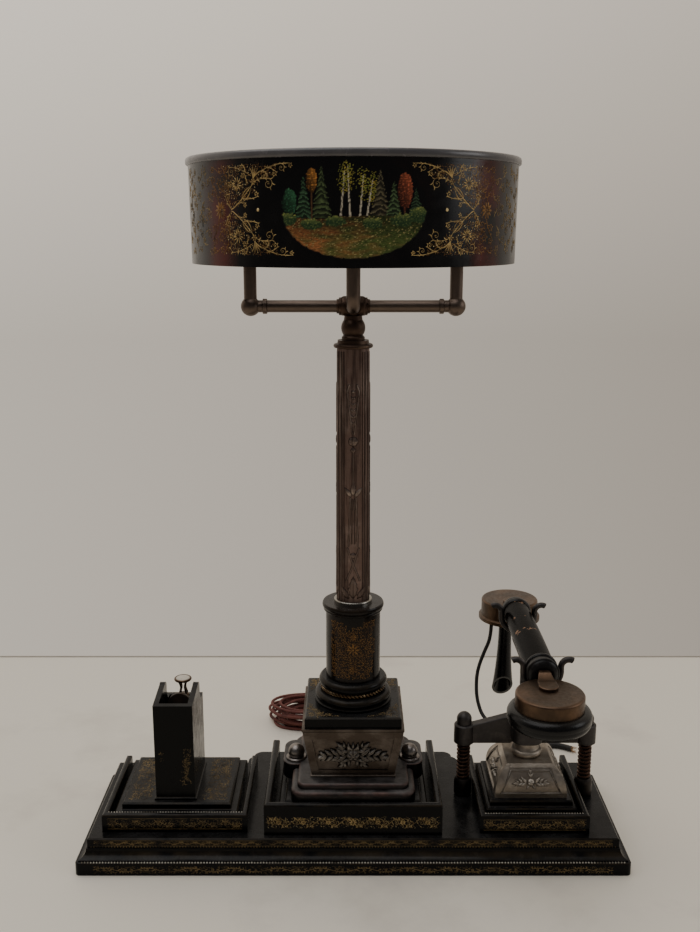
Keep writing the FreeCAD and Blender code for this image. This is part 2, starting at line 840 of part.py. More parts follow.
def arms():
    inner = hub_half
    outer = arm_reach - ball_socket
    both = []
    for side in (-1, 1):
        arm = turned([
            (arm_r, inner), (arm_r, outer - 10), (arm_r + 1.2, outer - 9.5), (arm_r + 1.2, outer - 6.5),
            (arm_r, outer - 6), (arm_r, outer)])
        arm.rotate(V(0, 0, 0), V(0, 1, 0), 90 * side)
        arm.translate(V(0, 0, hub_z))
        high = hub_z + post_h
        post = turned([(post_r, hub_z + ball_socket), (post_r, high - 5), (post_r + 3.0, high - 4),
                       (post_r + 3.0, high)], side * arm_reach)
        x = side * arm_reach
        elbow = ball(ball_r, x, 0.0, hub_z)
        elbow = elbow.cut(disc(post_r + turn_fit, hub_z + ball_socket, hub_z + 2 * ball_r, x))
        mouth = Part.makeCylinder(arm_r + turn_fit, 2 * ball_r, V(x - side * ball_socket, 0, hub_z),
                                  V(-side, 0, 0))
        both += [arm, post, elbow.cut(mouth)]
    return Part.makeCompound(both)


def lampholders():
    low = hub_z + post_h
    high = low + holder_h
    both = []
    for side in (-1, 1):
        shell = turned([
            (holder_r - 5, low), (holder_r - 1.5, low + 3.0, holder_r, low + 8.0), (holder_r, high - 7),
            (holder_r + 1.2, high - 6.5), (holder_r + 1.2, high - 4), (holder_r, high - 3.5), (holder_r, high)],
            side * arm_reach)
        both.append(shell.cut(disc(bulb_neck_r + slide_fit, high - 12, high + 1, side * arm_reach)))
    return Part.makeCompound(both)


def bulbs():
    high = hub_z + post_h + holder_h
    centre = high + bulb_drop - 3.0
    both = []
    shoulder = math.sqrt(bulb_r ** 2 - (bulb_neck_r + 3.0) ** 2)
    for side in (-1, 1):
        both.append(turned([
            (bulb_neck_r, high - 12), (bulb_neck_r, high),
            (bulb_neck_r + 1.2, (high + centre - shoulder) / 2 + 0.4, bulb_neck_r + 3.0, centre - shoulder),
            (bulb_r, centre, 0.0, centre + bulb_r)], side * arm_reach))
    return Part.makeCompound(both)


def spider_z():
    return rim_foot_z - spider_t


def stems():
    # bent tubes that leave the hub to the front and the back, turn up and carry the shade
    both = []
    start = stem_bend * 0.8
    for side in (-1, 1):
        bend_y = side * (start + stem_bend)
        knee = math.sqrt(0.5) * stem_bend
        path = [
            Part.Arc(V(0, side * start, hub_z),
                     V(0, side * (start + knee), hub_z + stem_bend - knee),
                     V(0, bend_y, hub_z + stem_bend)).toShape(),
            Part.LineSegment(V(0, bend_y, hub_z + stem_bend), V(0, bend_y, spider_z())).toShape()]
        stud_z = rim_foot_z + stem_stud_h
        stud = disc(stem_stud_r, spider_z() - 1, stud_z, 0.0, bend_y)
        nut = turned([(stem_nut_r, rim_foot_z), (stem_nut_r, stud_z), dome(stem_nut_r, stud_z, stem_nut_r * 0.5)],
                     0.0, bend_y)
        nut = nut.cut(disc(stem_stud_r + slide_fit, rim_foot_z, stud_z + seat_gap, 0.0, bend_y))
        both += [fuse([tube(path, stem_r), stud]), nut]
    return Part.makeCompound(both)


def shade_spider():
    low = spider_z()
    plate = disc(spider_disc_r, low, rim_foot_z)
    reach = shade_top_r - shade_wall_t - seat_gap * 4
    arm = box(0.0, reach, -spider_arm_w / 2, spider_arm_w / 2, low, rim_foot_z)
    pieces = [plate]
    for quarter in range(4):
        spoke = arm.copy()
        spoke.rotate(V(0, 0, 0), V(0, 0, 1), 45 + 90 * quarter)
        pieces.append(spoke)
    whole = fuse(pieces)
    for side in (-1, 1):
        whole = whole.cut(disc(stem_stud_r + slide_fit, low - 1, rim_foot_z + 1, 0.0, side * stem_bend * 1.8))
    return whole


def shade_wall():
    outer = Part.makeCone(shade_foot_r, shade_top_r, shade_h, V(0, 0, shade_z))
    inner = Part.makeCone(shade_foot_r - shade_wall_t, shade_top_r - shade_wall_t, shade_h, V(0, 0, shade_z))
    return outer.cut(inner)


def shade_rim():
    lip = edge_round * 1.5
    ring = turned([(rim_r, rim_foot_z), (rim_r, rim_z - lip),
                   (rim_r - lip * 0.3, rim_z - lip * 0.3, rim_r - lip, rim_z)])
    return ring.cut(disc(rim_inner_r, rim_foot_z - 1, rim_z + 1))


# Telephone

def vault(width, top_width, z0, z1, foot_h=0.0):
    # four curved sides that rise steeply and lean in towards the top
    lean = (width - top_width) / 2
    steps = [(0.0, z0), (0.0, z0 + foot_h), (-lean * 0.3, z0 + foot_h + (z1 - z0 - foot_h) * 0.62, -lean, z1)]
    return moulded(phone_x, bell_y, width, width, steps)


def phone_bell():
    low = phone_plinth_z
    outer = vault(bell_w, bell_top_w, low, bell_z, bell_foot_h)
    sunk = vault(bell_w - 2 * bell_panel_depth, bell_top_w - 2 * bell_panel_depth, low, bell_z, bell_foot_h)
    skin = outer.cut(sunk)
    z0 = low + bell_foot_h + bell_panel_margin * 0.5
    z1 = bell_z - bell_panel_margin * 0.5
    low_x = bell_w / 2 - bell_panel_margin
    high_x = bell_top_w / 2 - bell_panel_margin * 0.3
    bell = outer
    window = Part.Face(Part.makePolygon([
        V(-low_x, 0, z0), V(low_x, 0, z0), V(high_x, 0, z1), V(-high_x, 0, z1), V(-low_x, 0, z0)]))
    window = window.extrude(V(0, -bell_w, 0))
    for quarter in range(4):
        aim = window.copy()
        aim.rotate(V(0, 0, 0), V(0, 0, 1), 90 * quarter)
        aim.translate(V(phone_x, bell_y, 0))
        bell = bell.cut(skin.common(aim))
    hollow = vault(bell_w - 2 * bell_wall, bell_top_w - 2 * bell_wall, low - 1, bell_z - bell_wall, bell_foot_h)
    bell = bell.cut(hollow)
    return bell.cut(disc(switch_stem_r + slide_fit, low, bell_z + 1, phone_x, bell_y))


def bell_reliefs():
    # a small round boss in the middle of each panel
    z = phone_plinth_z + (bell_foot_h + bell_h) / 2
    low = phone_plinth_z
    sunk = vault(bell_w - 2 * bell_panel_depth, bell_top_w - 2 * bell_panel_depth, low, bell_z, bell_foot_h)
    proud = vault(bell_w + 2 * bell_relief_t - 2 * bell_panel_depth, bell_top_w + 2 * bell_relief_t, low,
                  bell_z + bell_relief_t, bell_foot_h)
    layer = proud.cut(sunk)
    bosses = []
    for quarter in range(4):
        peg = Part.makeCylinder(bell_relief_r, bell_w, V(0, -bell_w / 4, z), V(0, -1, 0))
        peg.rotate(V(0, 0, 0), V(0, 0, 1), 90 * quarter)
        peg.translate(V(phone_x, bell_y, 0))
        bosses.append(layer.common(peg))
    return Part.makeCompound(bosses)


def bell_collar():
    ring = turned([
        (collar_r - 1.6, bell_z), (collar_r, bell_z + collar_h * 0.22, collar_r - 2.4, bell_z + collar_h * 0.5),
        (collar_neck_r + 0.3, bell_z + collar_h * 0.72, collar_neck_r, collar_z)],
        phone_x, bell_y)
    return ring.cut(disc(switch_stem_r + slide_fit, bell_z - 1, collar_z + 1, phone_x, bell_y))


def contact_z():
    return phone_plinth_z + contact_h


def contact_set():
    block = box(phone_x - contact_w / 2, phone_x + contact_w / 2, bell_y - contact_d / 2, bell_y + contact_d / 2,
                phone_plinth_z, contact_z())
    rear = bell_y + contact_d / 2
    leaf = box(phone_x - contact_w / 2, phone_x + contact_w / 2, rear - contact_d * 0.3, rear,
               contact_z(), contact_z() + contact_leaf_t)
    return fuse([block, leaf])


def yoke():
    half = yoke_reach
    hub_half = yoke_hub_w / 2
    low = yoke_z
    high = low + yoke_hub_h
    end = half - guide_r - 1.5
    bar_outline = outline((-end, low), [
        (-end, low + yoke_end_h), (-hub_half, high), (hub_half, high),
        (end, low + yoke_end_h), (end, low), (-end, low)],
        lambda x, z: V(phone_x + x, yoke_y - yoke_bar_d / 2, z))
    bar = Part.Face(Part.Wire(bar_outline)).extrude(V(0, yoke_bar_d, 0))
    bar = bar.makeFillet(edge_round, [e for e in bar.Edges if abs(e.tangentAt(e.FirstParameter).x) > 0.9])
    bar = bar.cut(disc(collar_r + 3 * seat_gap, low - 1, yoke_hub_z, phone_x, bell_y))
    hub_y = yoke_y + (yoke_bar_d - yoke_hub_d) / 2
    middle = rounded_slab(yoke_hub_w, yoke_hub_d, yoke_hub_w * 0.4, yoke_hub_z, high, phone_x, hub_y)
    top_rim = [e for e in middle.Edges if e.BoundBox.ZMin > high - 0.01]
    middle = middle.makeFillet(edge_round, top_rim)
    pieces = [bar, middle]
    for side in (-1, 1):
        x = phone_x + side * half
        top = low + yoke_boss_h
        cap = top + yoke_cap_h
        pieces.append(turned([
            (yoke_boss_r, low), (yoke_boss_r, top - edge_round), (yoke_boss_r - edge_round, top),
            (yoke_cap_r, top), (yoke_cap_r, cap), dome(yoke_cap_r, cap, yoke_dome_h)], x, yoke_y))
    stem_foot = contact_z() + contact_leaf_t + yoke_lift * 0.1 + seat_gap
    pieces.append(disc(switch_stem_r, stem_foot, yoke_hub_z + 1, phone_x, bell_y))
    whole = fuse(pieces)
    for side in (-1, 1):
        whole = whole.cut(disc(guide_r + slide_fit, low - 1, low + yoke_boss_h, phone_x + side * half, yoke_y))
    return whole


def spring_x(side):
    return phone_x + side * yoke_reach


def guide_rods():
    return Part.makeCompound([
        disc(guide_r, deck, yoke_z + yoke_boss_h - guide_top_room, spring_x(side), yoke_y) for side in (-1, 1)])


def spring_cups():
    both = []
    for side in (-1, 1):
        cup = turned([
            (cup_r - 0.8, deck), (cup_r, deck + cup_h * 0.12), (cup_r, deck + cup_h * 0.68),
            (cup_r - 0.3, deck + cup_h * 0.86, cup_top_r, cup_z)],
            spring_x(side), yoke_y)
        both.append(cup.cut(disc(guide_r + turn_fit, deck - 1, cup_z + 1, spring_x(side), yoke_y)))
    return Part.makeCompound(both)


def spring(side):
    low = cup_z + spring_end
    high = yoke_z - spring_end
    rise = (high - low - 2 * spring_bend) / spring_turns

    def spot(turn):
        angle = 2 * math.pi * turn
        bend = min(max(turn - 0.25, 0.0), spring_turns)
        z = low + spring_bend + rise * bend
        return V(spring_x(side) + spring_r * math.cos(angle), yoke_y + spring_r * math.sin(angle), z)

    def heading(turn):
        angle = 2 * math.pi * turn
        way = V(-math.sin(angle), math.cos(angle), rise / (2 * math.pi * spring_r))
        return way.normalize()

    up = V(0, 0, 1)
    foot = V(spring_x(side) + spring_r, yoke_y, low)
    quarters = [0.25 + 0.25 * i for i in range(4 * spring_turns + 1)]
    last = quarters[-1]
    head_angle = 2 * math.pi * (last + 0.25)
    head = V(spring_x(side) + spring_r * math.cos(head_angle), yoke_y + spring_r * math.sin(head_angle), high)
    edges = [Part.LineSegment(foot - up * spring_end, foot).toShape()]
    edges += biarc(foot, up, spot(quarters[0]), heading(quarters[0]))
    for a, b in zip(quarters, quarters[1:]):
        edges += biarc(spot(a), heading(a), spot(b), heading(b))
    edges += biarc(spot(last), heading(last), head, up)
    edges.append(Part.LineSegment(head, head + up * spring_end).toShape())
    print(f"spring {side}: least self gap {least_self_gap(edges, 2 * spring_wire_r):.2f}")
    return tube(edges, spring_wire_r)


def cradle():
    fork_r = handle_r + seat_gap + fork_rod_r
    bar_top = handle_z - fork_r
    bar_low = bar_top - cradle_bar_h
    post = disc(cradle_post_r, yoke_z + yoke_hub_h, bar_low + 1, phone_x, yoke_y)
    flare = turned([(cradle_post_r + 3, yoke_z + yoke_hub_h), (cradle_post_r + 3, yoke_z + yoke_hub_h + 2),
                    (cradle_post_r, yoke_z + yoke_hub_h + 5)], phone_x, yoke_y)
    bar = box(phone_x - cradle_bar_w / 2, phone_x + cradle_bar_w / 2, fork_front_y - fork_rod_r,
              fork_rear_y + fork_rod_r, bar_low, bar_top)
    pieces = [post, flare, bar]
    for y in (fork_front_y, fork_rear_y):
        curl_x = fork_r + fork_curl_r
        tip = math.radians(60)
        knee = math.radians(120)

        def spot(x, z):
            return V(phone_x + x, y, handle_z + z)

        path = []
        for side in (-1, 1):
            curl = [spot(side * (curl_x + fork_curl_r * math.cos(a)), fork_rise + fork_curl_r * math.sin(a))
                    for a in (tip, knee, math.pi)]
            path.append(curl)
        edges = [Part.Arc(*path[0]).toShape(),
                 Part.LineSegment(spot(-fork_r, fork_rise), spot(-fork_r, 0)).toShape(),
                 Part.Arc(spot(-fork_r, 0), spot(0, -fork_r), spot(fork_r, 0)).toShape(),
                 Part.LineSegment(spot(fork_r, 0), spot(fork_r, fork_rise)).toShape(),
                 Part.Arc(*reversed(path[1])).toShape()]
        pieces.append(tube(edges, fork_rod_r))
    return fuse(pieces)


# Handset

def handset_handle():
    belly = handle_r - 0.6
    middle = (handle_front_y + handle_rear_y) / 2
    return turned_along_y([(belly, handle_front_y), (handle_r, middle, belly, handle_rear_y)], phone_x, handle_z)


def handset_collars():
    bead = collar_bead_r
    waist = handle_r - 0.2
    f = handle_front_y
    groove0 = fork_front_y - groove_w / 2
    groove1 = fork_front_y + groove_w / 2
    end = f - collar_front_l
    front = turned_along_y([
        (waist * 0.42, end - collar_nose), (waist * 0.84, end - collar_nose * 0.3, waist, end + collar_nose),
        (bead, (end + collar_nose + groove0) / 2, waist, groove0), (waist, groove1),
        (bead, (groove1 + f) / 2, waist, f)], phone_x, handle_z)
    r = handle_rear_y
    rear = turned_along_y([
        (waist, r), (bead, r + collar_rear_l * 0.25, waist, r + collar_rear_l * 0.5),
        (bead - 1.0, r + collar_rear_l * 0.72, waist - 1.5, r + collar_rear_l)], phone_x, handle_z)
    return Part.makeCompound([front, rear])


def strap(y0, way):
    # a brass tongue from a collar's end, down on the cup's top and along it
    low = cup_top_z
    high = handle_z + handle_r

    def at(y, z):
        return V(phone_x - strap_w, y0 + way * y, z)

    def above(x, y):
        return V(phone_x + x, y0 + way * y, low)

    run = outline((0.0, low), [
        (0.0, handle_z + strap_rise), (strap_reach * 0.13, handle_z + strap_rise * 0.91),
        (strap_reach * 0.33, handle_z + strap_rise * 0.35, strap_reach * 0.52, low + strap_t * 1.16),
        (strap_reach, low + strap_t), (strap_reach, low), (0.0, low)], at)
    bar = Part.Face(Part.Wire(run)).extrude(V(2 * strap_w, 0, 0))
    half, neck_half = strap_w / 2, strap_neck_w / 2
    tongue = outline((-neck_half, 0.0), [
        (neck_half, 0.0), (half, strap_reach * 0.44), (half, strap_reach * 0.62),
        (0.0, strap_reach, -half, strap_reach * 0.62), (-half, strap_reach * 0.44), (-neck_half, 0.0)], above)
    shape = bar.common(Part.Face(Part.Wire(tongue)).extrude(V(0, 0, high - low)))
    rims = [e for e in shape.Edges if e.BoundBox.ZMin > low + strap_t * 0.1 and e.BoundBox.YLength > strap_t * 0.1]
    return shape.makeFillet(strap_round, rims).Solids[0]


def ear_strap():
    return strap(handle_front_y - collar_front_l - collar_nose, -1)


def ear_cup():
    low = cup_top_z - ear_cup_h
    shell = turned([
        (cup_shell_r, low), (cup_shell_r, cup_top_z - 2.0),
        (cup_shell_r - 0.6, cup_top_z - 0.6, cup_shell_r - 2.0, cup_top_z)], phone_x, ear_y)
    return shell.cut(disc(cup_shell_r - cup_wall, low - 1, cup_top_z - cup_wall, phone_x, ear_y))


def ear_cap():
    high = cup_top_z - ear_cup_h
    low = high - ear_cap_h
    ring = turned([
        (ear_cap_r - 5.0, low), (ear_cap_r - 1.2, low + 2.0, ear_cap_r, low + ear_cap_h * 0.45),
        (ear_cap_r - 1.6, high - 1.5, ear_cap_r - 4.6, high)], phone_x, ear_y)
    dish = Part.makeCone(ear_cap_r - 6.5, ear_hole_r, ear_cap_h * 0.62, V(phone_x, ear_y, low))
    hole = disc(ear_hole_r, low - 1, high + 1, phone_x, ear_y)
    return ring.cut(dish).cut(hole)


def mic_cup():
    low = cup_top_z - mic_cup_h
    shell = turned([
        (mic_flange_r, low), (mic_flange_r, low + mic_flange_h - 1), (cup_shell_r, low + mic_flange_h),
        (cup_shell_r, cup_top_z - 2.0), (cup_shell_r - 0.6, cup_top_z - 0.6, cup_shell_r - 2.0, cup_top_z)],
        phone_x, mic_y)
    cord_x, cord_y, cord_z = handset_cord_points[0]
    boss = disc(handset_cord_r + 1.3, cord_z, low + 1, cord_x, cord_y)
    return fuse([shell, boss, strap(handle_rear_y + collar_rear_l, 1)])


def mic_horn():
    # a flared tube that hangs under the rear cup, its mouth cut slantwise towards the front
    low = cup_top_z - mic_cup_h

    def flare(inside):
        return [(horn_neck_r - inside, 0.0), (horn_neck_r + 1.0 - inside, -horn_l * 0.5, horn_mouth_r - inside, -horn_l)]

    blank = turned(flare(0.0)).cut(turned([(horn_neck_r - horn_wall, -horn_wall * 4)] + [
        (horn_neck_r + 1.0 - horn_wall, -horn_l * 0.55, horn_mouth_r - horn_wall, -horn_l - 0.5)]))
    knife = box(-2 * horn_l, 2 * horn_l, -2 * horn_l, 2 * horn_l, -2 * horn_l, 0.0)
    knife.rotate(V(0, 0, 0), V(1, 0, 0), 90 - horn_cut_angle - 90)
    knife.translate(V(0, 0, -horn_l * horn_cut_share))
    horn = blank.cut(knife)
    horn.rotate(V(0, 0, 0), V(0, 1, 0), math.degrees(math.atan(horn_side / horn_l)))
    horn.translate(V(phone_x + horn_shift, horn_y, low))
    return horn.cut(box(phone_x - horn_l, phone_x + horn_l, horn_y - horn_l, horn_y + horn_l, low, low + horn_l))


# Cords and what they end in

handset_gland_top = deck + 5.0
handset_cord_points = [
    (phone_x - 17.5, 108.0, 147.0), (phone_x - 17.5, 108.0, 132.0), (phone_x - 24.0, 107.0, 117.0),
    (phone_x - 29.9, 104.0, 101.0), (phone_x - 31.3, 100.0, 86.0), (phone_x - 30.3, 95.0, 73.0),
    (phone_x - 26.0, 87.5, 61.0), (phone_x - 15.5, 74.0, 56.5), (phone_x - 1.5, 56.0, 56.0),
    (phone_x - 1.5, 56.0, handset_gland_top)]
line_exit = (phone_x + 23.5, base_d / 2 + gland_l, 7.0)
line_cord_points = [
    line_exit, (phone_x + 23.5, 106.0, 7.0), (phone_x + 27.5, 122.0, line_cord_r + cord_lift),
    (phone_x + 35.5, 134.0, line_cord_r + cord_lift), (phone_x + 47.5, 142.0, line_cord_r + cord_lift),
    (phone_x + 60.5, 141.5, line_cord_r + cord_lift), (phone_x + 70.5, 134.0, line_cord_r + cord_lift)]
lamp_exit = (14.0, bay_rear + gland_l, 7.0)
hank_side = hank_inner + hank_loops * hank_pitch
hank_start = (hank_x + hank_run / 2, hank_y - hank_side, lamp_cord_r + cord_lift)
lamp_cord_points = [
    lamp_exit, (14.0, 121.0, 7.0), (16.5, 134.0, lamp_cord_r + cord_lift),
    (18.0, 148.0, lamp_cord_r + cord_lift), (14.5, 164.0, lamp_cord_r + cord_lift),
    (hank_start[0] + hank_lead, hank_start[1], hank_start[2]), hank_start]


def gland(x, rear, z, r):
    cone = turned([(gland_r, rear), (gland_r, rear + 3), (r + 0.8, rear + gland_l)])
    cone.rotate(V(0, 0, 0), V(1, 0, 0), -90)
    cone.translate(V(x, 0, z))
    return cone


def cord_glands():
    bush_x, bush_y, bush_top = handset_cord_points[-1]
    bush = turned([(handset_cord_r + 3.0, deck), (handset_cord_r + 1.0, bush_top)], bush_x, bush_y)
    return Part.makeCompound([
        gland(lamp_exit[0], bay_rear, lamp_exit[2], lamp_cord_r),
        gland(line_exit[0], base_d / 2, line_exit[2], line_cord_r), bush])


def hank_edges():
    # flat oval loops that spiral in, climb a layer along a run and spiral out again
    edges = []
    near = [hank_inner + hank_pitch * i for i in range(hank_loops + 1)]
    far = [hank_inner + hank_pitch * (i + 0.5) for i in range(hank_loops)]
    right = hank_x + hank_run / 2
    left = hank_x - hank_run / 2

    def run(x0, x1, y, z0, z1):
        if z0 == z1:
            edges.append(Part.LineSegment(V(x0, hank_y + y, z0), V(x1, hank_y + y, z1)).toShape())
        else:
            way = V(math.copysign(1.0, x1 - x0), 0, 0)
            edges.extend(biarc(V(x0, hank_y + y, z0), way, V(x1, hank_y + y, z1), way))

    def bend(x, way, y0, y1, z):
        radius = abs(y1 - y0) / 2
        middle = V(x + way * radius, hank_y + (y0 + y1) / 2, z)
        edges.append(Part.Arc(V(x, hank_y + y0, z), middle, V(x, hank_y + y1, z)).toShape())

    z = hank_start[2]
    for layer in range(hank_layers):
        inward = layer % 2 == 0
        order = list(range(hank_loops))
        if inward:
            order.reverse()
        for count, i in enumerate(order):
            y_in = near[i + 1] if inward else near[i]
            y_out = near[i] if inward else near[i + 1]
            first = layer > 0 and count == 0
            z_from = z - hank_pitch if first else z
            run(right, left, -y_in, z_from, z)
            bend(left, -1, -y_in, far[i], z)
            run(left, right, far[i], z, z)
            final = layer == hank_layers - 1 and count == hank_loops - 1
            if not final:
                bend(right, 1, far[i], -y_out, z)
        z += hank_pitch
    return edges


def hank_end():
    return V(hank_x + hank_run / 2, hank_y + hank_inner + hank_pitch * (hank_loops - 0.5),
             hank_start[2] + hank_pitch * (hank_layers - 1))


def plug_x():
    return hank_end().x + plug_reach


def lamp_cord_hank():
    edges = hank_edges()
    end = hank_end()
    tail = V(plug_x(), end.y, plug_r + cord_lift)
    way = V(1, 0, 0)
    level = end + way * hank_tail
    edges.append(Part.LineSegment(end, level).toShape())
    edges += biarc(level, way, tail - way * 2 * lamp_cord_r, way)
    edges.append(Part.LineSegment(tail - way * 2 * lamp_cord_r, tail).toShape())
    length = sum(e.Length for e in edges)
    print(f"hank: length {length:.1f}, least self gap {least_self_gap(edges, 2 * lamp_cord_r):.2f}")
    return tube(edges, lamp_cord_r)


def lamp_plug():
    x = plug_x()
    end = hank_end()
    body = turned([
        (lamp_cord_r + 1.5, x), (lamp_cord_r + 2.5, x + 6), (plug_r - 2.5, x + 9),
        (plug_r - 0.6, x + 12, plug_r, x + 16), (plug_r, x + plug_l)])
    body.rotate(V(0, 0, 0), V(0, 1, 0), 90)
    pieces = [body]
    for side in (-1, 1):
        pin = Part.makeCylinder(pin_r, pin_l, V(x + plug_l - 1, side * pin_gap, 0), V(1, 0, 0))
        pieces.append(pin)
    plug = fuse(pieces)
    plug.translate(V(0, end.y, plug_r + cord_lift))
    return plug


nodes = {
    "base_board": base_board(),
    "base_cover": base_cover(),
    "base_tier": base_tier(),
    "terminal_block": terminal_block(),
    "left_tray": tray(left_x, left_y, left_tray_w, left_tray_d, left_tray_h, tray_wall),
    "left_plinth": stepped_plinth(left_x, left_y, left_plinth_w, left_plinth_d, plinth_step,
                                  left_plinth_low, left_plinth_top),
    "match_case": match_case(),
    "match_liner": match_liner(),
    "wand_socket": wand_socket(),
    "striker_wand": striker_wand(),
    "lamp_tray": tray(0.0, lamp_tray_y, lamp_tray_w, lamp_tray_d, lamp_tray_h, lamp_tray_wall),
    "sub_plinth": sub_plinth(),
    "lamp_plinth": lamp_plinth(),
    "knob_left": knob(-1),
    "knob_right": knob(1),
    "pedestal_die": pedestal_die(),
    "pedestal_relief": pedestal_relief(),
    "pedestal_slab": pedestal_slab(),
    "column_foot": column_foot(),
    "rope_ring": rope_ring(),
    "drum": drum(),
    "drum_cap": drum_cap(),
    "column_ring": column_ring(),
    "column": column(),
    "column_relief": column_relief(),
    "neck": neck(),
    "tie_rod": tie_rod(),
    "hub": hub(),
    "arms": arms(),
    "lampholders": lampholders(),
    "bulbs": bulbs(),
    "stems": stems(),
    "shade_spider": shade_spider(),
    "shade_wall": shade_wall(),
    "shade_rim": shade_rim(),
    "phone_tray": tray(phone_x, phone_tray_y, phone_tray_w, phone_tray_d, phone_tray_h, tray_wall),
    "phone_plinth": stepped_plinth(phone_x, bell_y, phone_plinth_w, phone_plinth_d, plinth_step * 0.6,
                                   phone_plinth_low, phone_plinth_top),
    "phone_bell": phone_bell(),
    "bell_reliefs": bell_reliefs(),
    "bell_collar": bell_collar(),
    "contact_set": contact_set(),
    "yoke": yoke(),
    "guide_rods": guide_rods(),
    "spring_cups": spring_cups(),
    "spring_left": spring(-1),
    "spring_right": spring(1),
    "cradle": cradle(),
    "handset_handle": handset_handle(),
    "handset_collars": handset_collars(),
    "ear_strap": ear_strap(),
    "ear_cup": ear_cup(),
    "ear_cap": ear_cap(),
    "mic_cup": mic_cup(),
    "mic_horn": mic_horn(),
    "handset_cord": cord("handset_cord", handset_cord_points, handset_cord_r),
    "line_cord": cord("line_cord", line_cord_points, line_cord_r),
    "lamp_cord": cord("lamp_cord", lamp_cord_points, lamp_cord_r),
    "lamp_cord_hank": lamp_cord_hank(),
    "lamp_plug": lamp_plug(),
    "cord_glands": cord_glands(),
}

os.makedirs("parts", exist_ok=True)
for name, shape in nodes.items():
    print(f"{name}: solids {len(shape.Solids)}, valid {shape.isValid()}, volume {shape.Volume:.1f}")
    shape.exportStep(f"parts/{name}.step")
print(len(nodes), "nodes")
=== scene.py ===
import bpy, bmesh, math, random
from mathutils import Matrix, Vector, noise
from mathutils.bvhtree import BVHTree


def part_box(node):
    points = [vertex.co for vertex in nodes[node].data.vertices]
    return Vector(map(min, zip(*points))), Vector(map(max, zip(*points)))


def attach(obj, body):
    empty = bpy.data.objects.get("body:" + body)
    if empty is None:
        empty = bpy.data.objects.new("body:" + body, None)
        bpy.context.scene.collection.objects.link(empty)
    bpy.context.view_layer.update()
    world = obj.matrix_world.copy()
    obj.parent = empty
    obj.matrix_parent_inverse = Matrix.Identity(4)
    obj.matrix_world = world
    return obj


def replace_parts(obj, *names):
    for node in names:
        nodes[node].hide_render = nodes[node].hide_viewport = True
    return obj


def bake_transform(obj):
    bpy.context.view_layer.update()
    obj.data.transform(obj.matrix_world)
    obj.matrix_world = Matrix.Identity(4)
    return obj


# Desk set with a lamp, a telephone and a match case. The frame is the CAD's, in metres. The dictionaries of pieces
# are in millimetres unless mm stands beside a number, those of the camera and the stage in metres.

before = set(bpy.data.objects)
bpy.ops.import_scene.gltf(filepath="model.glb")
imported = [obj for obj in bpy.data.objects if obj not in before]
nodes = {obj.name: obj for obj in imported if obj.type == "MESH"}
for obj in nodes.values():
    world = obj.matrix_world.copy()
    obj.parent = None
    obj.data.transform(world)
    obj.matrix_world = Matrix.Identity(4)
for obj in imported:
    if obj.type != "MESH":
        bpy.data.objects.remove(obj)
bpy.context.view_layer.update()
scene = bpy.context.scene
mm = 0.001
fullTurn = 2 * math.pi
anyAngle = (0, 6.28)
sharpBend = 50
print("frame loaded:", len(nodes), "nodes")


# camera at the photograph's height and tilt

cameraView = {"place": (-0.00255, -0.8202, 0.5102), "tilt": 12.83, "lens": 40.3, "sensor": 36, "nearest": 0.01}


def makeCamera(view):
    data = bpy.data.cameras.new("camera")
    data.lens, data.sensor_width, data.clip_start = view["lens"], view["sensor"], view["nearest"]
    camera = bpy.data.objects.new("camera", data)
    camera.location = view["place"]
    camera.rotation_euler = (math.radians(90 - view["tilt"]), 0, 0)
    scene.collection.objects.link(camera)
    scene.camera = camera


makeCamera(cameraView)
print("camera set")


# nodes: put adds one, and the helpers after it give the socket that the next node takes

def tint(red, green, blue):
    # a screen colour as a linear one
    return tuple(((c / 255 + 0.055) / 1.055) ** 2.4 if c > 10 else c / 255 / 12.92 for c in (red, green, blue)) + (1,)


def feed(tree, node, inputs):
    for key, value in inputs.items():
        if isinstance(value, bpy.types.NodeSocket):
            tree.links.new(value, node.inputs[key])
        else:
            node.inputs[key].default_value = value
    return node


def put(tree, kind, inputs=None, **settings):
    node = tree.nodes.new(kind if "Node" in kind else "ShaderNode" + kind)
    for key, value in settings.items():
        setattr(node, key, value)
    return feed(tree, node, inputs or {})


def calc(tree, operation, *values, **settings):
    return put(tree, "Math", dict(enumerate(values)), operation=operation, **settings).outputs[0]


def times(tree, first, *others):
    for value in others:
        first = calc(tree, "MULTIPLY", first, value)
    return first


def ramp(tree, value, low, high, toLow=0.0, toHigh=1.0):
    return put(tree, "MapRange", {"Value": value, "From Min": low, "From Max": high, "To Min": toLow,
                                  "To Max": toHigh}).outputs["Result"]


def clouds(tree, vector, scale, detail, roughness=0.5):
    return put(tree, "TexNoise", {"Vector": vector, "Scale": scale, "Detail": detail,
                                  "Roughness": roughness}).outputs["Fac"]


def mix(tree, amount, first, second, **settings):
    return put(tree, "MixRGB", {"Fac": amount, "Color1": first, "Color2": second}, **settings).outputs[0]


def stretched(tree, vector, factors):
    return put(tree, "VectorMath", {0: vector, 1: factors}, operation="MULTIPLY").outputs[0]


def normalOf(tree):
    return put(tree, "NewGeometry").outputs["Normal"]


def split(tree, vector):
    return put(tree, "SeparateXYZ", {0: vector}).outputs


def relief(tree, height, strength, distance):
    return put(tree, "Bump", {"Height": height, "Strength": strength, "Distance": distance}).outputs["Normal"]


# effects shared by the finishes, each a node group; a function takes its input sockets and gives its outputs

def rubbing(tree, vector, scale, level, soft):
    # patches where the top coat is rubbed thin
    return [ramp(tree, clouds(tree, vector, scale, 7.0, 0.62), level, calc(tree, "ADD", level, soft))]


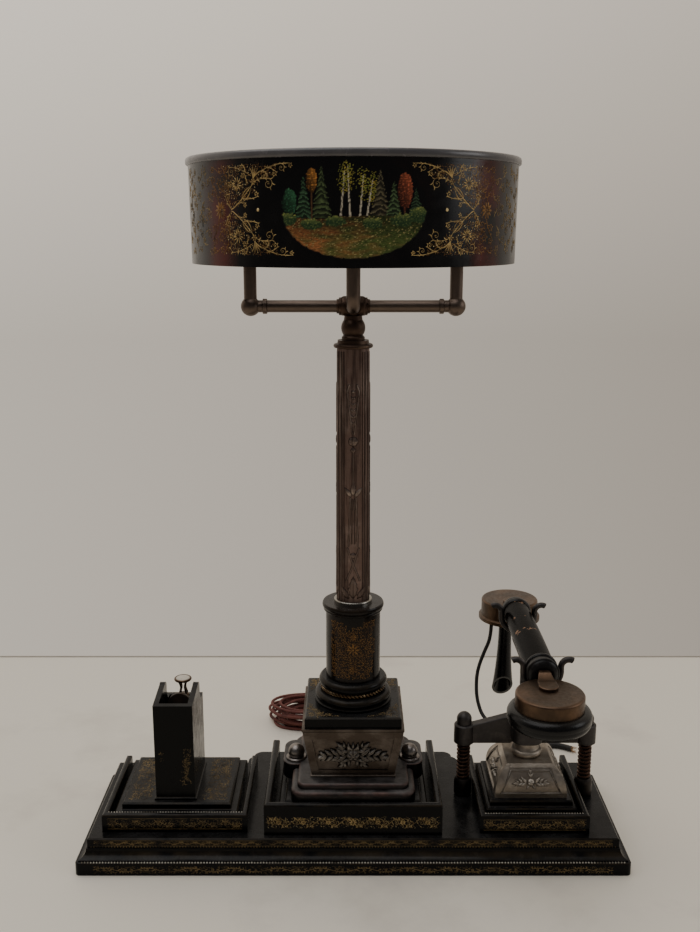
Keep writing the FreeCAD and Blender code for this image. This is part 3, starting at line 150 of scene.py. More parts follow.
def dustFilm(tree, vector, colour, dust, amount):
    # a pale film that settles on what faces up
    up = ramp(tree, split(tree, normalOf(tree))["Z"], 0.25, 0.95)
    film = times(tree, up, ramp(tree, clouds(tree, vector, 38.0, 8.0, 0.7), 0.34, 0.7), amount)
    return [mix(tree, film, colour, dust), film]


def surfaceGrain(tree, vector, scale):
    # fine unevenness of the surface, in two sizes
    wide = clouds(tree, vector, scale, 4.0, 0.55)
    fine = clouds(tree, vector, times(tree, scale, 7.0), 3.0, 0.6)
    return [calc(tree, "ADD", wide, times(tree, fine, 0.3)), wide]


def edgeWearAndHighlight(tree, vector, amount):
    # where a face turns over from level to upright, in broken patches: partly worn edges and partly a painted highlight
    # along rounded edges
    level = split(tree, normalOf(tree))["Z"]
    patch = ramp(tree, clouds(tree, vector, 45.0, 6.0, 0.65), 0.35, 0.6)
    return [times(tree, ramp(tree, level, 0.12, 0.45), ramp(tree, level, 0.98, 0.75), patch, amount)]


def creviceDirtAndShade(tree, amount):
    # low places of a carving darkened, partly dirt that stays there and partly painted shade in the hollows; rise is 0
    # at a leaf's foot and 1 at its top
    bent = ramp(tree, put(tree, "NewGeometry").outputs["Pointiness"], 0.51, 0.44)
    low = ramp(tree, put(tree, "Attribute", attribute_name="rise").outputs["Fac"], 0.62, 0.12)
    return [times(tree, calc(tree, "MAXIMUM", bent, low), amount)]


def streaks(tree, vector, amount):
    # upright lines, as on drawn or brushed metal
    cloud = clouds(tree, stretched(tree, vector, (1.0, 1.0, 0.05)), 420.0, 5.0, 0.6)
    return [times(tree, ramp(tree, cloud, 0.46, 0.62), amount)]


def sideBands(tree, vector, amount):
    # upright bands left and right of the outer front, uneven along their height
    spot, level = split(tree, vector), stretched(tree, vector, (1.0, 1.0, 0.0))
    turned = put(tree, "VectorMath", {0: normalOf(tree), 1: level}, operation="DOT_PRODUCT").outputs["Value"]
    outside, before = ramp(tree, turned, 0.0, 0.05), ramp(tree, spot["Y"], 0.0, -0.03, 0.0, amount)
    off = calc(tree, "ABSOLUTE", spot["X"])
    patch = ramp(tree, clouds(tree, vector, 34.0, 4.0), 0.32, 0.62)
    return [times(tree, ramp(tree, off, 0.078, 0.088), ramp(tree, off, 0.106, 0.096), patch, outside, before)]


def makeGroup(effect, takes, gives):
    kinds = {"Vector": "Vector", "Colour": "Color", "Dust": "Color"}
    tree = bpy.data.node_groups.new(effect.__name__, "ShaderNodeTree")
    for way, labels in (("INPUT", takes), ("OUTPUT", gives)):
        for label in labels.split():
            tree.interface.new_socket(label, in_out=way, socket_type="NodeSocket" + kinds.get(label, "Float"))
    given = tree.nodes.new("NodeGroupInput").outputs
    made = effect(tree, *[given[label] for label in takes.split()])
    feed(tree, tree.nodes.new("NodeGroupOutput"), dict(zip(gives.split(), made)))
    return tree


groups = {
    "rubbing": makeGroup(rubbing, "Vector Scale Level Soft", "Mask"),
    "dustFilm": makeGroup(dustFilm, "Vector Colour Dust Amount", "Colour Film"),
    "surfaceGrain": makeGroup(surfaceGrain, "Vector Scale", "Height Value"),
    "edgeWearAndHighlight": makeGroup(edgeWearAndHighlight, "Vector Amount", "Mask"),
    "creviceDirtAndShade": makeGroup(creviceDirtAndShade, "Amount", "Mask"),
    "streaks": makeGroup(streaks, "Vector Amount", "Mask"),
    "sideBands": makeGroup(sideBands, "Vector Amount", "Mask"),
}


def useGroup(tree, name, inputs):
    return put(tree, "Group", inputs, node_tree=groups[name]).outputs


# finishes

surfaceLook = {"dustDulls": 0.35, "dustCovers": 1.8, "grainDepth": 0.0006, "grainLow": 0.3, "grainHigh": 0.7}
finishTable = {
    # base and worn tone, metal, roughness from and to, the rubbing's scale, level and softness, bump, grain, and what
    # else there is: dust, specular, or an effect with its amount and tone
    # the lighter tone on the lacquer's rounded edges is partly wear and partly a painted highlight
    "lacquer": ((6, 6, 7), (19, 16, 15), 0, (0.14, 0.3), 24, 0.56, 0.3, 0.05, 120,
                dict(dust=0.18, dustTone=(100, 99, 98), specular=0.12, edgeWearAndHighlight=(0.3, (78, 66, 48)))),
    "lacquerBrown": ((15, 11, 9), (44, 34, 27), 0, (0.14, 0.3), 30, 0.48, 0.3, 0.05, 120,
                     dict(dust=0.14, dustTone=(104, 98, 96), specular=0.16, edgeWearAndHighlight=(0.2, (78, 66, 48)))),
    # light grey: a painted reflection on the shade's black lacquered rim
    "lacquerRimPaintedReflection": ((80, 78, 80), (110, 106, 105), 0, (0.16, 0.3), 16, 0.5, 0.3, 0.05, 120, dict(dust=0.12)),
    "lacquerShade": ((10, 8, 8), (30, 18, 15), 0, (0.16, 0.3), 9, 0.52, 0.3, 0.05, 90,
                     dict(dust=0.1, specular=0.3, sideBands=(0.85, (84, 26, 18)))),
    "casting": ((78, 69, 62), (124, 115, 107), 1, (0.36, 0.56), 26, 0.46, 0.22, 0.35, 420, dict(dust=0.12)),
    # the carvings' dark hollows below are partly dirt and partly painted shade
    "castingRelief": ((110, 104, 98), (164, 158, 150), 1, (0.32, 0.5), 60, 0.46, 0.25, 0.3, 500,
                      dict(creviceDirtAndShade=(0.9, (14, 11, 9)))),
    "bellRelief": ((150, 141, 130), (204, 196, 184), 1, (0.32, 0.5), 70, 0.46, 0.25, 0.3, 500,
                   dict(creviceDirtAndShade=(0.6, (14, 11, 9)))),
    "bellCasting": ((142, 132, 120), (192, 183, 170), 1, (0.34, 0.54), 38, 0.47, 0.25, 0.35, 420, dict(dust=0.12)),
    # the plinth's reddish-brown rounded edges are partly wear and partly a painted highlight
    "plinthGrey": ((48, 46, 46), (70, 65, 63), 1, (0.34, 0.52), 30, 0.54, 0.16, 0.25, 300,
                   dict(dust=0.62, dustTone=(108, 103, 100), edgeWearAndHighlight=(0.5, (116, 84, 74)))),
    "ballGrey": ((126, 120, 116), (160, 154, 148), 1, (0.26, 0.44), 70, 0.55, 0.2, 0.15, 380, {}),
    "columnBronze": ((118, 98, 90), (158, 139, 129), 1, (0.4, 0.58), 22, 0.5, 0.2, 0.4, 320,
                     dict(streaks=(0.6, (46, 36, 36)))),
    # dark hollows in the column's carving: partly dirt, partly painted shade
    "columnRelief": ((118, 102, 94), (176, 160, 148), 1, (0.36, 0.54), 40, 0.5, 0.22, 0.35, 400,
                     dict(streaks=(0.5, (46, 36, 36)), creviceDirtAndShade=(0.95, (24, 17, 15)))),
    "neckBronze": ((72, 57, 48), (112, 94, 80), 1, (0.38, 0.55), 60, 0.58, 0.2, 0.3, 340, {}),
    "armBronze": ((100, 87, 78), (132, 114, 98), 1, (0.34, 0.5), 50, 0.6, 0.2, 0.2, 300, {}),
    "ringSteel": ((150, 146, 138), (196, 192, 184), 1, (0.22, 0.38), 80, 0.55, 0.2, 0.15, 500, {}),
    "gilt": ((210, 180, 118), (104, 80, 48), 0.55, (0.36, 0.56), 150, 0.5, 0.2, 0.3, 900, {}),
    "giltBright": ((240, 216, 158), (176, 142, 88), 0.35, (0.3, 0.5), 200, 0.52, 0.2, 0.2, 900, {}),
    # darker gilt: on the shade's spray tips partly painted shade toward the sides, on the drum its own tone
    "giltDark": ((146, 106, 56), (62, 43, 26), 0.6, (0.36, 0.56), 140, 0.48, 0.2, 0.3, 900, {}),
    "giltFaint": ((152, 128, 84), (50, 40, 29), 0.55, (0.4, 0.6), 70, 0.48, 0.18, 0.3, 900, {}),
    "silverGilt": ((196, 190, 178), (110, 102, 90), 0.8, (0.26, 0.44), 60, 0.5, 0.14, 0.2, 700, {}),
    "ropeBronze": ((92, 74, 54), (176, 156, 124), 1, (0.14, 0.3), 70, 0.56, 0.16, 0.2, 600, {}),
    "cupBrass": ((73, 60, 49), (100, 79, 62), 1, (0.3, 0.5), 30, 0.44, 0.18, 0.2, 360,
                 dict(dust=0.05, edgeWearAndHighlight=(0.5, (130, 102, 84)))),
    "ebonite": ((7, 7, 8), (24, 21, 20), 0, (0.22, 0.3), 40, 0.56, 0.2, 0.03, 160, dict(dust=0.05, specular=0.26)),
    "handleBlack": ((7, 6, 6), (150, 116, 92), 0, (0.18, 0.3), 58, 0.62, 0.03, 0.12, 320,
                    dict(dust=0.02, specular=0.02)),
    "collarBlack": ((16, 14, 13), (44, 36, 31), 0, (0.26, 0.42), 90, 0.58, 0.2, 0.2, 380, dict(specular=0.3)),
    "yokeIron": ((72, 69, 68), (102, 95, 91), 1, (0.42, 0.6), 44, 0.56, 0.2, 0.4, 360, {}),
    "cupIron": ((62, 57, 54), (92, 83, 76), 1, (0.36, 0.54), 60, 0.6, 0.2, 0.25, 360, {}),
    "springRust": ((74, 54, 44), (108, 82, 68), 1, (0.44, 0.64), 140, 0.5, 0.2, 0.4, 700, {}),
    "plainSteel": ((118, 112, 104), (150, 144, 136), 1, (0.32, 0.5), 60, 0.55, 0.2, 0.2, 400, {}),
    "wandMetal": ((72, 54, 40), (126, 104, 82), 1, (0.2, 0.36), 110, 0.54, 0.2, 0.1, 400, {}),
    "discFace": ((196, 188, 174), (166, 156, 140), 0, (0.25, 0.45), 160, 0.58, 0.2, 0.15, 500, {}),
    "liner": ((52, 40, 30), (80, 62, 47), 0, (0.5, 0.7), 50, 0.55, 0.2, 0.3, 400,
              dict(edgeWearAndHighlight=(0.8, (96, 82, 68)))),
    "insulation": ((52, 36, 27), (70, 50, 38), 0, (0.4, 0.55), 60, 0.55, 0.2, 0.15, 300, {}),
    "rubber": ((26, 24, 23), (54, 46, 39), 0, (0.5, 0.7), 120, 0.54, 0.2, 0.35, 800, {}),
    "braid": ((112, 62, 54), (76, 38, 34), 0, (0.7, 0.9), 160, 0.5, 0.2, 0.8, 1400, {}),
    "fray": ((168, 128, 84), (110, 76, 46), 0, (0.6, 0.8), 300, 0.55, 0.2, 0.3, 900, {}),
    "tableTop": ((235, 228, 214), (208, 200, 188), 0, (0.5, 0.7), 4, 0.55, 0.2, 0.05, 260, {}),
    "tableEdgeShadow": ((186, 178, 166), (168, 160, 149), 0, (0.6, 0.8), 30, 0.55, 0.2, 0.15, 260, {}),
}


def newMaterial(name):
    material = bpy.data.materials.new(name)
    material.use_nodes = True
    tree = material.node_tree
    return material, tree, tree.nodes["Principled BSDF"], put(tree, "TexCoord").outputs["Object"]


def makeFinish(name, base, worn, metal, rough, scale, level, soft, bump, grain, dust=0.0, dustTone=(126, 114, 98),
               specular=0.5, **effects):
    # two tones parted by rubbing, then the effects and the dust; the gloss and the grain are uneven
    material, tree, shader, place = newMaterial(name)
    mask = useGroup(tree, "rubbing", {"Vector": place, "Scale": scale, "Level": level, "Soft": soft})["Mask"]
    tone = mix(tree, mask, tint(*base), tint(*worn))
    # the edge effect is partly a painted highlight and the hollow effect partly painted shade
    for effect in ("streaks", "sideBands", "edgeWearAndHighlight", "creviceDirtAndShade"):
        if effect in effects:
            amount, over = effects[effect]
            spot = {} if effect == "creviceDirtAndShade" else {"Vector": place}
            tone = mix(tree, useGroup(tree, effect, {"Amount": amount, **spot})["Mask"], tone, tint(*over))
    film = useGroup(tree, "dustFilm", {"Vector": place, "Colour": tone, "Dust": tint(*dustTone), "Amount": dust})
    surface = useGroup(tree, "surfaceGrain", {"Vector": place, "Scale": grain})
    gloss = ramp(tree, surface["Value"], surfaceLook["grainLow"], surfaceLook["grainHigh"], *rough)
    if metal and dust:
        metal = calc(tree, "MULTIPLY_ADD", film["Film"], -surfaceLook["dustCovers"] * metal, metal, use_clamp=True)
    feed(tree, shader, {
        "Base Color": film["Colour"], "Metallic": metal, "Specular IOR Level": specular,
        "Roughness": calc(tree, "MULTIPLY_ADD", film["Film"], surfaceLook["dustDulls"], gloss),
        "Normal": relief(tree, surface["Height"], bump, surfaceLook["grainDepth"])})
    return material


def makeGlass():
    material, tree, shader, place = newMaterial("glass")
    mask = useGroup(tree, "rubbing", {"Vector": place, "Scale": 30.0, "Level": 0.45, "Soft": 0.4})["Mask"]
    feed(tree, shader, {
        "Base Color": mix(tree, mask, tint(244, 242, 236), tint(226, 222, 212)),
        "Roughness": ramp(tree, mask, 0.0, 1.0, 0.04, 0.16), "Transmission Weight": 0.9})
    return material


finishes = {name: makeFinish(name, *row, **more) for name, (*row, more) in finishTable.items()}
finishes["glass"] = makeGlass()
finishOf = {
    "lacquer": "base_board base_cover base_tier left_tray left_plinth match_case lamp_tray sub_plinth pedestal_slab "
               "column_foot phone_tray phone_plinth",
    "lacquerBrown": "drum drum_cap",
    "lacquerShade": "shade_wall",
    "lacquerRimPaintedReflection": "shade_rim",
    "casting": "pedestal_die",
    "castingRelief": "pedestal_relief",
    "bellCasting": "phone_bell bell_collar",
    "bellRelief": "bell_reliefs",
    "plinthGrey": "lamp_plinth",
    "ballGrey": "knob_left knob_right",
    "columnBronze": "column",
    "columnRelief": "column_relief",
    "neckBronze": "neck hub",
    "armBronze": "arms stems shade_spider",
    "ringSteel": "column_ring",
    "ropeBronze": "rope_ring",
    "cupBrass": "ear_cup mic_cup ear_strap lampholders",
    "ebonite": "ear_cap mic_horn lamp_plug cord_glands",
    "handleBlack": "handset_handle",
    "collarBlack": "handset_collars",
    "yokeIron": "yoke cradle",
    "cupIron": "spring_cups",
    "springRust": "spring_left spring_right",
    "plainSteel": "guide_rods tie_rod wand_socket",
    "wandMetal": "striker_wand",
    "liner": "match_liner",
    "insulation": "terminal_block contact_set",
    "glass": "bulbs",
    "rubber": "handset_cord line_cord",
    "braid": "lamp_cord lamp_cord_hank",
}
for finish, names in finishOf.items():
    for name in names.split():
        nodes[name].data.materials.clear()
        nodes[name].data.materials.append(finishes[finish])
print("finishes made:", len(finishes))


# making of pieces

def around(u, v, radius, angle):
    return u + radius * math.cos(angle), v + radius * math.sin(angle)


def outward(mesh, smooth=True, crease=None):
    # closed faces turned outward; edges bent by more than crease degrees stay sharp
    skin = bmesh.new()
    skin.from_mesh(mesh)
    bmesh.ops.recalc_face_normals(skin, faces=skin.faces)
    for face in skin.faces:
        face.smooth = smooth
    for edge in skin.edges if crease else ():
        edge.smooth = edge.calc_face_angle(0) < math.radians(crease)
    skin.to_mesh(mesh)
    skin.free()
    return mesh


def meshOf(name, verts, faces, smooth=True, crease=None):
    mesh = bpy.data.meshes.new(name)
    mesh.from_pydata(verts, [], faces)
    return outward(mesh, smooth, crease)


def plainMesh(holder):
    # what an object evaluates to; the object itself goes
    scene.collection.objects.link(holder)
    bpy.context.view_layer.update()
    mesh = bpy.data.meshes.new_from_object(holder.evaluated_get(bpy.context.evaluated_depsgraph_get()))
    bpy.data.objects.remove(holder)
    return mesh


def addPiece(name, data, finish, slot, body="desk_set", rides=True):
    piece = bpy.data.objects.new(name, data)
    scene.collection.objects.link(piece)
    data.materials.clear()
    data.materials.append(finishes[finish])
    if rides:
        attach(piece, body)
    return piece


def joined(parts):
    # several (verts, faces) lists as one
    verts, faces = [], []
    for partVerts, partFaces in parts:
        shift = len(verts)
        verts += partVerts
        faces += [tuple(i + shift for i in face) for face in partFaces]
    return verts, faces


def skinned(rings, closed=False):
    # equal rings of verts joined one to the next, closed into a loop or with a face at both ends
    count, sides = len(rings), len(rings[0])
    faces = [] if closed else [tuple(range(sides)), tuple(range((count - 1) * sides, count * sides))]
    for i in range(count if closed else count - 1):
        here, there = i * sides, (i + 1) % count * sides
        faces += [(here + k, here + (k + 1) % sides, there + (k + 1) % sides, there + k) for k in range(sides)]
    return [spot for ring in rings for spot in ring], faces


def tubeAlong(points, radius, sides):
    # a closed tube on a line of points; radius may be a number or one for each point
    radii = radius if isinstance(radius, list) else [radius] * len(points)
    across = (points[1] - points[0]).normalized().orthogonal().normalized()
    rings = []
    for i, point in enumerate(points):
        ahead = (points[min(i + 1, len(points) - 1)] - points[max(i - 1, 0)]).normalized()
        across = (across - ahead * across.dot(ahead)).normalized()
        other = ahead.cross(across)
        turns = [around(0, 0, radii[i], fullTurn * k / sides) for k in range(sides)]
        rings.append([point + across * c + other * s for c, s in turns])
    return skinned(rings)


# cords on the routes of the CAD tubes; the turns of the lamp cord's hank lie more loosely

handsetCord = {
    "radius": 1.7 * mm, "sides": 12,
    "route": [(131.0, 108.0, 147.0), (131.0, 108.0, 132.0), (124.5, 107.0, 117.0), (118.6, 104.0, 101.0),
              (117.2, 100.0, 86.0), (118.2, 95.0, 73.0), (122.5, 87.5, 61.0), (133.0, 74.0, 56.5), (147.0, 56.0, 56.0),
              (147.0, 56.0, 32.6)],
}
lineCord = {
    "radius": 2.75 * mm,
    "route": [(172.0, 91.5, 7.0), (172.0, 106.0, 7.0), (176.0, 122.0, 2.85), (184.0, 134.0, 2.85),
              (196.0, 142.0, 2.85), (209.0, 141.5, 2.85), (219.0, 134.0, 2.85)],
    # the bare strands at the end: how far they start inside, how far from the middle, their bend and radii
    "strands": 9, "seed": 5, "strandLength": 7.6, "inside": 1.5, "ring": 1.3, "bend": 0.8, "strandSides": 6,
    "strandRadii": (0.42, 0.42, 0.36, 0.16),
}
lampCord = {
    "radius": 1.5 * mm,
    "lead": [(14.0, 111.0, 7.0), (14.0, 121.0, 7.0), (16.5, 134.0, 1.6), (18.0, 148.0, 1.6), (14.5, 164.0, 1.6),
             (-3.0, 178.3, 1.6)],
    "tail": [(-9.0, 225.9, 19.6), (-2.0, 225.9, 17.0), (1.0, 225.9, 13.1), (7.0, 225.9, 13.1)],
    "hank": dict(middle=(-39.0, 203.0), run=40.0, inner=17.5, pitch=3.6, loops=2, layers=6, floor=1.6,
                 # how the layers slip over each other and lean at the left, and how far the outer turns stand out there
                 drift=[(-4.0, 0.0, -4.5), (3.0, -1.5, 3.5), (-7.0, -2.5, -1.5), (4.0, -1.0, 4.5), (-2.0, -3.0, -4.0),
                        (1.0, -2.0, 2.0)], fan=5.0, squeeze=0.78, bulge=1.08),
}


def routeCurve(name, points, radius):
    data = bpy.data.curves.new(name, "CURVE")
    data.dimensions = "3D"
    data.bevel_depth, data.bevel_resolution = radius, 3
    data.use_fill_caps = radius > 0
    spline = data.splines.new("NURBS")
    spline.points.add(len(points) - 1)
    for spot, at in zip(spline.points, points):
        spot.co = (*(Vector(at) * mm), 1)
    spline.order_u, spline.resolution_u = 3, 8
    spline.use_endpoint_u = True
    return data


def routeLine(points):
    # the points of the route's own spline
    line = plainMesh(bpy.data.objects.new("routeLine", routeCurve("routeLine", points, 0.0)))
    spots = [v.co.copy() for v in line.vertices]
    bpy.data.meshes.remove(line)
    return spots


def lengthOf(spots):
    return sum((b - a).length for a, b in zip(spots, spots[1:]))


def hankRoute(middle, run, inner, pitch, loops, layers, floor, drift, fan, squeeze, bulge):
    # oval turns that wind in and out again layer by layer, lying loosely on each other
    near = [inner + pitch * i for i in range(loops + 1)]
    far = [inner + pitch * (i + 0.5) for i in range(loops)]
    half, points = run / 2, []
    for layer, (dx, dy, lean) in enumerate(drift[:layers]):
        order = range(loops - 1, -1, -1) if layer % 2 == 0 else range(loops)
        for i in order:
            enter, leave = (near[i + 1], near[i]) if layer % 2 == 0 else (near[i], near[i + 1])
            out = fan * (i - 0.4) + dx
            turn = [(half, -enter), (0, -enter), (-half - out * 0.5, -enter)]
            for angle in (225, 180, 135):
                x, y = around(0, (far[i] - enter) / 2, (enter + far[i]) / 2 * bulge, math.radians(angle))
                turn.append((x - half - out, lean + y * squeeze))
            turn += [(-half - out * 0.5, far[i]), (0, far[i]), (half, far[i])]
            last = layer == layers - 1 and i == order[-1]
            for angle in () if last else (45, 0, -45):
                turn.append(around(half + dx * 0.6, (far[i] - leave) / 2, (far[i] + leave) / 2 * bulge,
                                   math.radians(angle)))
            points += [(middle[0] + x, middle[1] + y + dy, floor + pitch * layer) for x, y in turn]
    return points


def makeHandsetCord(cord):
    spots = routeLine(cord["route"])
    tube = meshOf("handsetCord", *tubeAlong(spots, cord["radius"], cord["sides"]))
    piece = addPiece("handsetCord", tube, "rubber", "dark_cord", rides=False)
    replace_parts(piece, "handset_cord")
    tuple(spots[0])
    tuple(spots[-1])
    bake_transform(piece)
    tuple(spots[0])
    round(lengthOf(spots), 4)


def makeLineCord(cord):
    spots = routeLine(cord["route"])
    piece = addPiece("lineCord", routeCurve("lineCord", cord["route"], cord["radius"]), "rubber", "dark_cord")
    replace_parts(piece, "line_cord")
    ahead = (spots[-1] - spots[-2]).normalized()
    draw = random.Random(cord["seed"])
    strands = []
    for k in range(cord["strands"]):
        c, s = around(0, 0, 1, fullTurn * k / cord["strands"])
        side = Vector((-ahead.y * c, ahead.x * c, s))
        reach = cord["strandLength"] * mm * draw.uniform(0.6, 1.0)
        start = spots[-1] - ahead * cord["inside"] * mm + side * cord["ring"] * mm
        tip = start + ahead * reach + side * draw.uniform(0.6, 1.4) * mm
        knee = (start + tip) / 2 + side * cord["bend"] * mm
        strands.append(tubeAlong([start, start.lerp(knee, 0.6), knee.lerp(tip, 0.4), tip],
                                 [radius * mm for radius in cord["strandRadii"]], cord["strandSides"]))
    fray = addPiece("lineCordFray", meshOf("lineCordFray", *joined(strands)), "fray", "dark_cord")
    tuple(spots[0])
    round(lengthOf(spots), 4)


def makeLampCord(cord):
    route = cord["lead"] + hankRoute(**cord["hank"]) + cord["tail"]
    spots = routeLine(route)
    piece = addPiece("lampCord", routeCurve("lampCord", route, cord["radius"]), "braid", "maroon_braid")
    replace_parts(piece, "lamp_cord", "lamp_cord_hank")
    tuple(spots[0])
    round(lengthOf(spots), 4)


makeHandsetCord(handsetCord)
makeLineCord(lineCord)
makeLampCord(lampCord)
print("cords laid")


# repeats: each tree takes a mesh and gives the finished row, beading or rope

def geo(tree, kind, inputs=None, **settings):
    return put(tree, "GeometryNode" + kind, inputs, **settings).outputs[0]


def turning(tree, kind, inputs, **settings):
    return put(tree, "FunctionNode" + kind, inputs, **settings).outputs[0]


def combined(tree, **axes):
    return put(tree, "CombineXYZ", axes).outputs[0]


def motifRow(tree, given):
    # a motif side by side along x, every second one turned over where Turn is 1
    line = geo(tree, "MeshLine", {"Count": given["Count"], "Offset": combined(tree, X=given["Pitch"])})
    odd = calc(tree, "MODULO", geo(tree, "InputIndex"), 2.0)
    side = calc(tree, "MULTIPLY_ADD", times(tree, odd, given["Turn"]), -2.0, 1.0)
    return geo(tree, "InstanceOnPoints", {"Points": line, "Instance": given["Geometry"],
                                          "Scale": combined(tree, X=1.0, Y=side, Z=1.0)})


def beading(tree, given):
    # beads along the edges of a line mesh
    curve = geo(tree, "MeshToCurve", {"Mesh": given["Geometry"]})
    spread = geo(tree, "ResampleCurve", {"Curve": curve, "Length": given["Spacing"]}, mode="LENGTH")
    bead = geo(tree, "MeshUVSphere", {"Segments": 8, "Rings": 5, "Radius": given["Radius"]})
    return geo(tree, "InstanceOnPoints", {"Points": spread, "Instance": bead})


def twist(tree, given):
    # slanted strands around a ring, as on a twisted rope
    curve = geo(tree, "MeshToCurve", {"Mesh": given["Geometry"]})
    spread = geo(tree, "ResampleCurve", {"Curve": curve, "Count": given["Count"]})
    along = turning(tree, "AlignRotationToVector", {"Vector": geo(tree, "InputTangent")}, axis="X")
    level = turning(tree, "AlignRotationToVector", {"Rotation": along, "Vector": (0.0, 0.0, 1.0)}, axis="Z",
                    pivot_axis="X")
    slant = turning(tree, "EulerToRotation", {0: combined(tree, Y=given["Slant"])})
    slanted = turning(tree, "RotateRotation", {"Rotation": level, "Rotate By": slant}, rotation_space="LOCAL")
    strand = geo(tree, "MeshUVSphere", {"Segments": 8, "Rings": 6, "Radius": given["Radius"]})
    return geo(tree, "InstanceOnPoints", {"Points": spread, "Instance": strand, "Rotation": slanted,
                                          "Scale": (1.75, 1.0, 0.75)})


def makeTree(fill, takes):
    tree = bpy.data.node_groups.new(fill.__name__, "GeometryNodeTree")
    sockets = {}
    for label, kind in {"Geometry": "Geometry", **takes, "Finish": "Material"}.items():
        sockets[label] = tree.interface.new_socket(label, in_out="INPUT", socket_type="NodeSocket" + kind).identifier
    tree.interface.new_socket("Geometry", in_out="OUTPUT", socket_type="NodeSocketGeometry")
    given = tree.nodes.new("NodeGroupInput").outputs
    whole = geo(tree, "RealizeInstances", {"Geometry": fill(tree, given)})
    dressed = geo(tree, "SetMaterial", {"Geometry": whole, "Material": given["Finish"]})
    feed(tree, tree.nodes.new("NodeGroupOutput"), {"Geometry": dressed})
    return tree, sockets


trees = {
    "row": makeTree(motifRow, {"Count": "Int", "Pitch": "Float", "Turn": "Float"}),
    "beads": makeTree(beading, {"Spacing": "Float", "Radius": "Float"}),
    "rope": makeTree(twist, {"Count": "Int", "Radius": "Float", "Slant": "Float"}),
}


def grown(name, mesh, treeName, values):
    # the mesh with the tree's geometry, as a plain mesh
    tree, sockets = trees[treeName]
    holder = bpy.data.objects.new(name, mesh)
    modifier = holder.modifiers.new("grow", "NODES")
    modifier.node_group = tree
    for label, value in values.items():
        modifier[sockets[label]] = value
    result = plainMesh(holder)
    result.name = name
    return outward(result)


# gilding: strokes are lines of (u, v, half width) and dots are (u, v, radius), laid on a surface

strokeForm = {"foot": -0.12, "lift": 0.16, "dome": 0.24, "tip": 0.06}
bandForm = {"lineSteps": 30, "lineWide": 0.2, "fleckSize": 3.2, "fleckSeed": 17}


def curl(u, v, radius, start, turns, wide, thin=0.08, steps=16):
    # a spiral that winds in from its outer end
    line = []
    for i in range(steps + 1):
        t = i / steps
        line.append((*around(u, v, radius * (1 - 0.84 * t), start + fullTurn * turns * t), wide + (thin - wide) * t))
    return line


def leaf(u0, v0, u1, v1, bow, wide, steps=6):
    # a bowed stroke, widest in the middle
    line = []
    across = Vector((v0 - v1, u1 - u0)).normalized()
    for i in range(steps + 1):
        t = i / steps
        side = bow * 4 * t * (1 - t)
        line.append((u0 + (u1 - u0) * t + across.x * side, v0 + (v1 - v0) * t + across.y * side,
                     strokeForm["tip"] + wide * math.sin(math.pi * t) ** 0.8))
    return line


def scroll(u, v, middleU, middleV, radius, hand, weight):
    # a stem from (u, v) that runs into a spiral about the middle, with leaves on its outer side
    away = math.hypot(u - middleU, v - middleV)
    start = math.atan2(v - middleV, u - middleU) + hand * math.acos(min(1, radius / away))
    touch = around(middleU, middleV, radius, start)
    stem = leaf(u, v, *touch, -0.06 * hand * away, 0, 8)
    strokes = [[(x, y, weight) for x, y, _ in stem[:-1]]
               + curl(middleU, middleV, radius, start, hand * 1.35, weight, 0.12, 22)]
    ahead, reach = math.atan2(touch[1] - v, touch[0] - u), radius * 0.85
    for k, side in ((2, 1), (4, -1), (6, 1)):
        x, y, _ = stem[k]
        strokes.append(leaf(x, y, *around(x, y, reach, ahead + 0.7 * side), -0.2 * side * reach, weight * 1.3, 4))
    for k in range(3):
        angle = start + hand * (0.5 + 0.95 * k)
        strokes.append(leaf(*around(middleU, middleV, radius * (0.96 - 0.1 * k), angle),
                            *around(middleU, middleV, radius * (1.62 - 0.16 * k), angle + hand * 0.42),
                            0.16 * hand * radius, weight * 1.4, 4))
    return strokes, [(middleU, middleV, weight * 1.8)]


def flecks(inside, box, count, size, seed):
    # what is left of rubbed gilding: short strokes and dots
    draw = random.Random(seed)
    strokes, dots = [], []
    while len(strokes) < count:
        u, v = draw.uniform(box[0], box[2]), draw.uniform(box[1], box[3])
        if inside(u, v):
            angle, reach = draw.uniform(*anyAngle), size * draw.uniform(0.6, 1.5)
            strokes.append(leaf(u, v, *around(u, v, reach, angle), reach * draw.uniform(-0.35, 0.35), size * 0.12, 4))
            dots.append((*around(u, v, reach, angle + math.pi / 2), size * draw.uniform(0.16, 0.36)))
    return strokes, dots


def star(u, v, near, far, rays, bow, wide, steps):
    strokes = []
    for k in range(rays):
        angle = fullTurn * k / rays
        strokes.append(leaf(*around(u, v, near, angle), *around(u, v, far, angle), bow, wide, steps))
    return strokes


def rosette(u, v, radius, petals=8):
    return star(u, v, radius * 0.28, radius, petals, 0, radius * 0.2, 5), [(u, v, radius * 0.24)]


def halfVine(length, rise, weight):
    # one bend of a vine: stem, a curl in its hollow, leaves above it and dots
    strokes = [[(length * i / 14, rise * math.sin(math.pi * i / 14), weight) for i in range(15)],
               curl(length * 0.5, -rise * 0.12, min(rise * 0.78, length * 0.3), math.pi * 0.75, -1.35, weight, 0.1)]
    for side in (-1, 1):
        for near, low, far, high, bow, wide in ((0.24, 0.74, 0.3, 1.7, 0.22, 1.7), (0.36, 0.45, 0.2, -0.5, 0.2, 1.3),
                                                (0.08, 1.0, 0.14, 1.6, -0.12, 1.3)):
            strokes.append(leaf(length * (0.5 + near * side), rise * low, length * (0.5 + far * side), rise * high,
                                rise * bow * side, weight * wide))
    return strokes, [(length * along, rise * high, weight * size) for along, high, size in (
        (0.5, 1.55, 1.5), (0.06, 1.2, 1.3), (0.94, 1.2, 1.3), (0.5, -0.12, 1.6))]


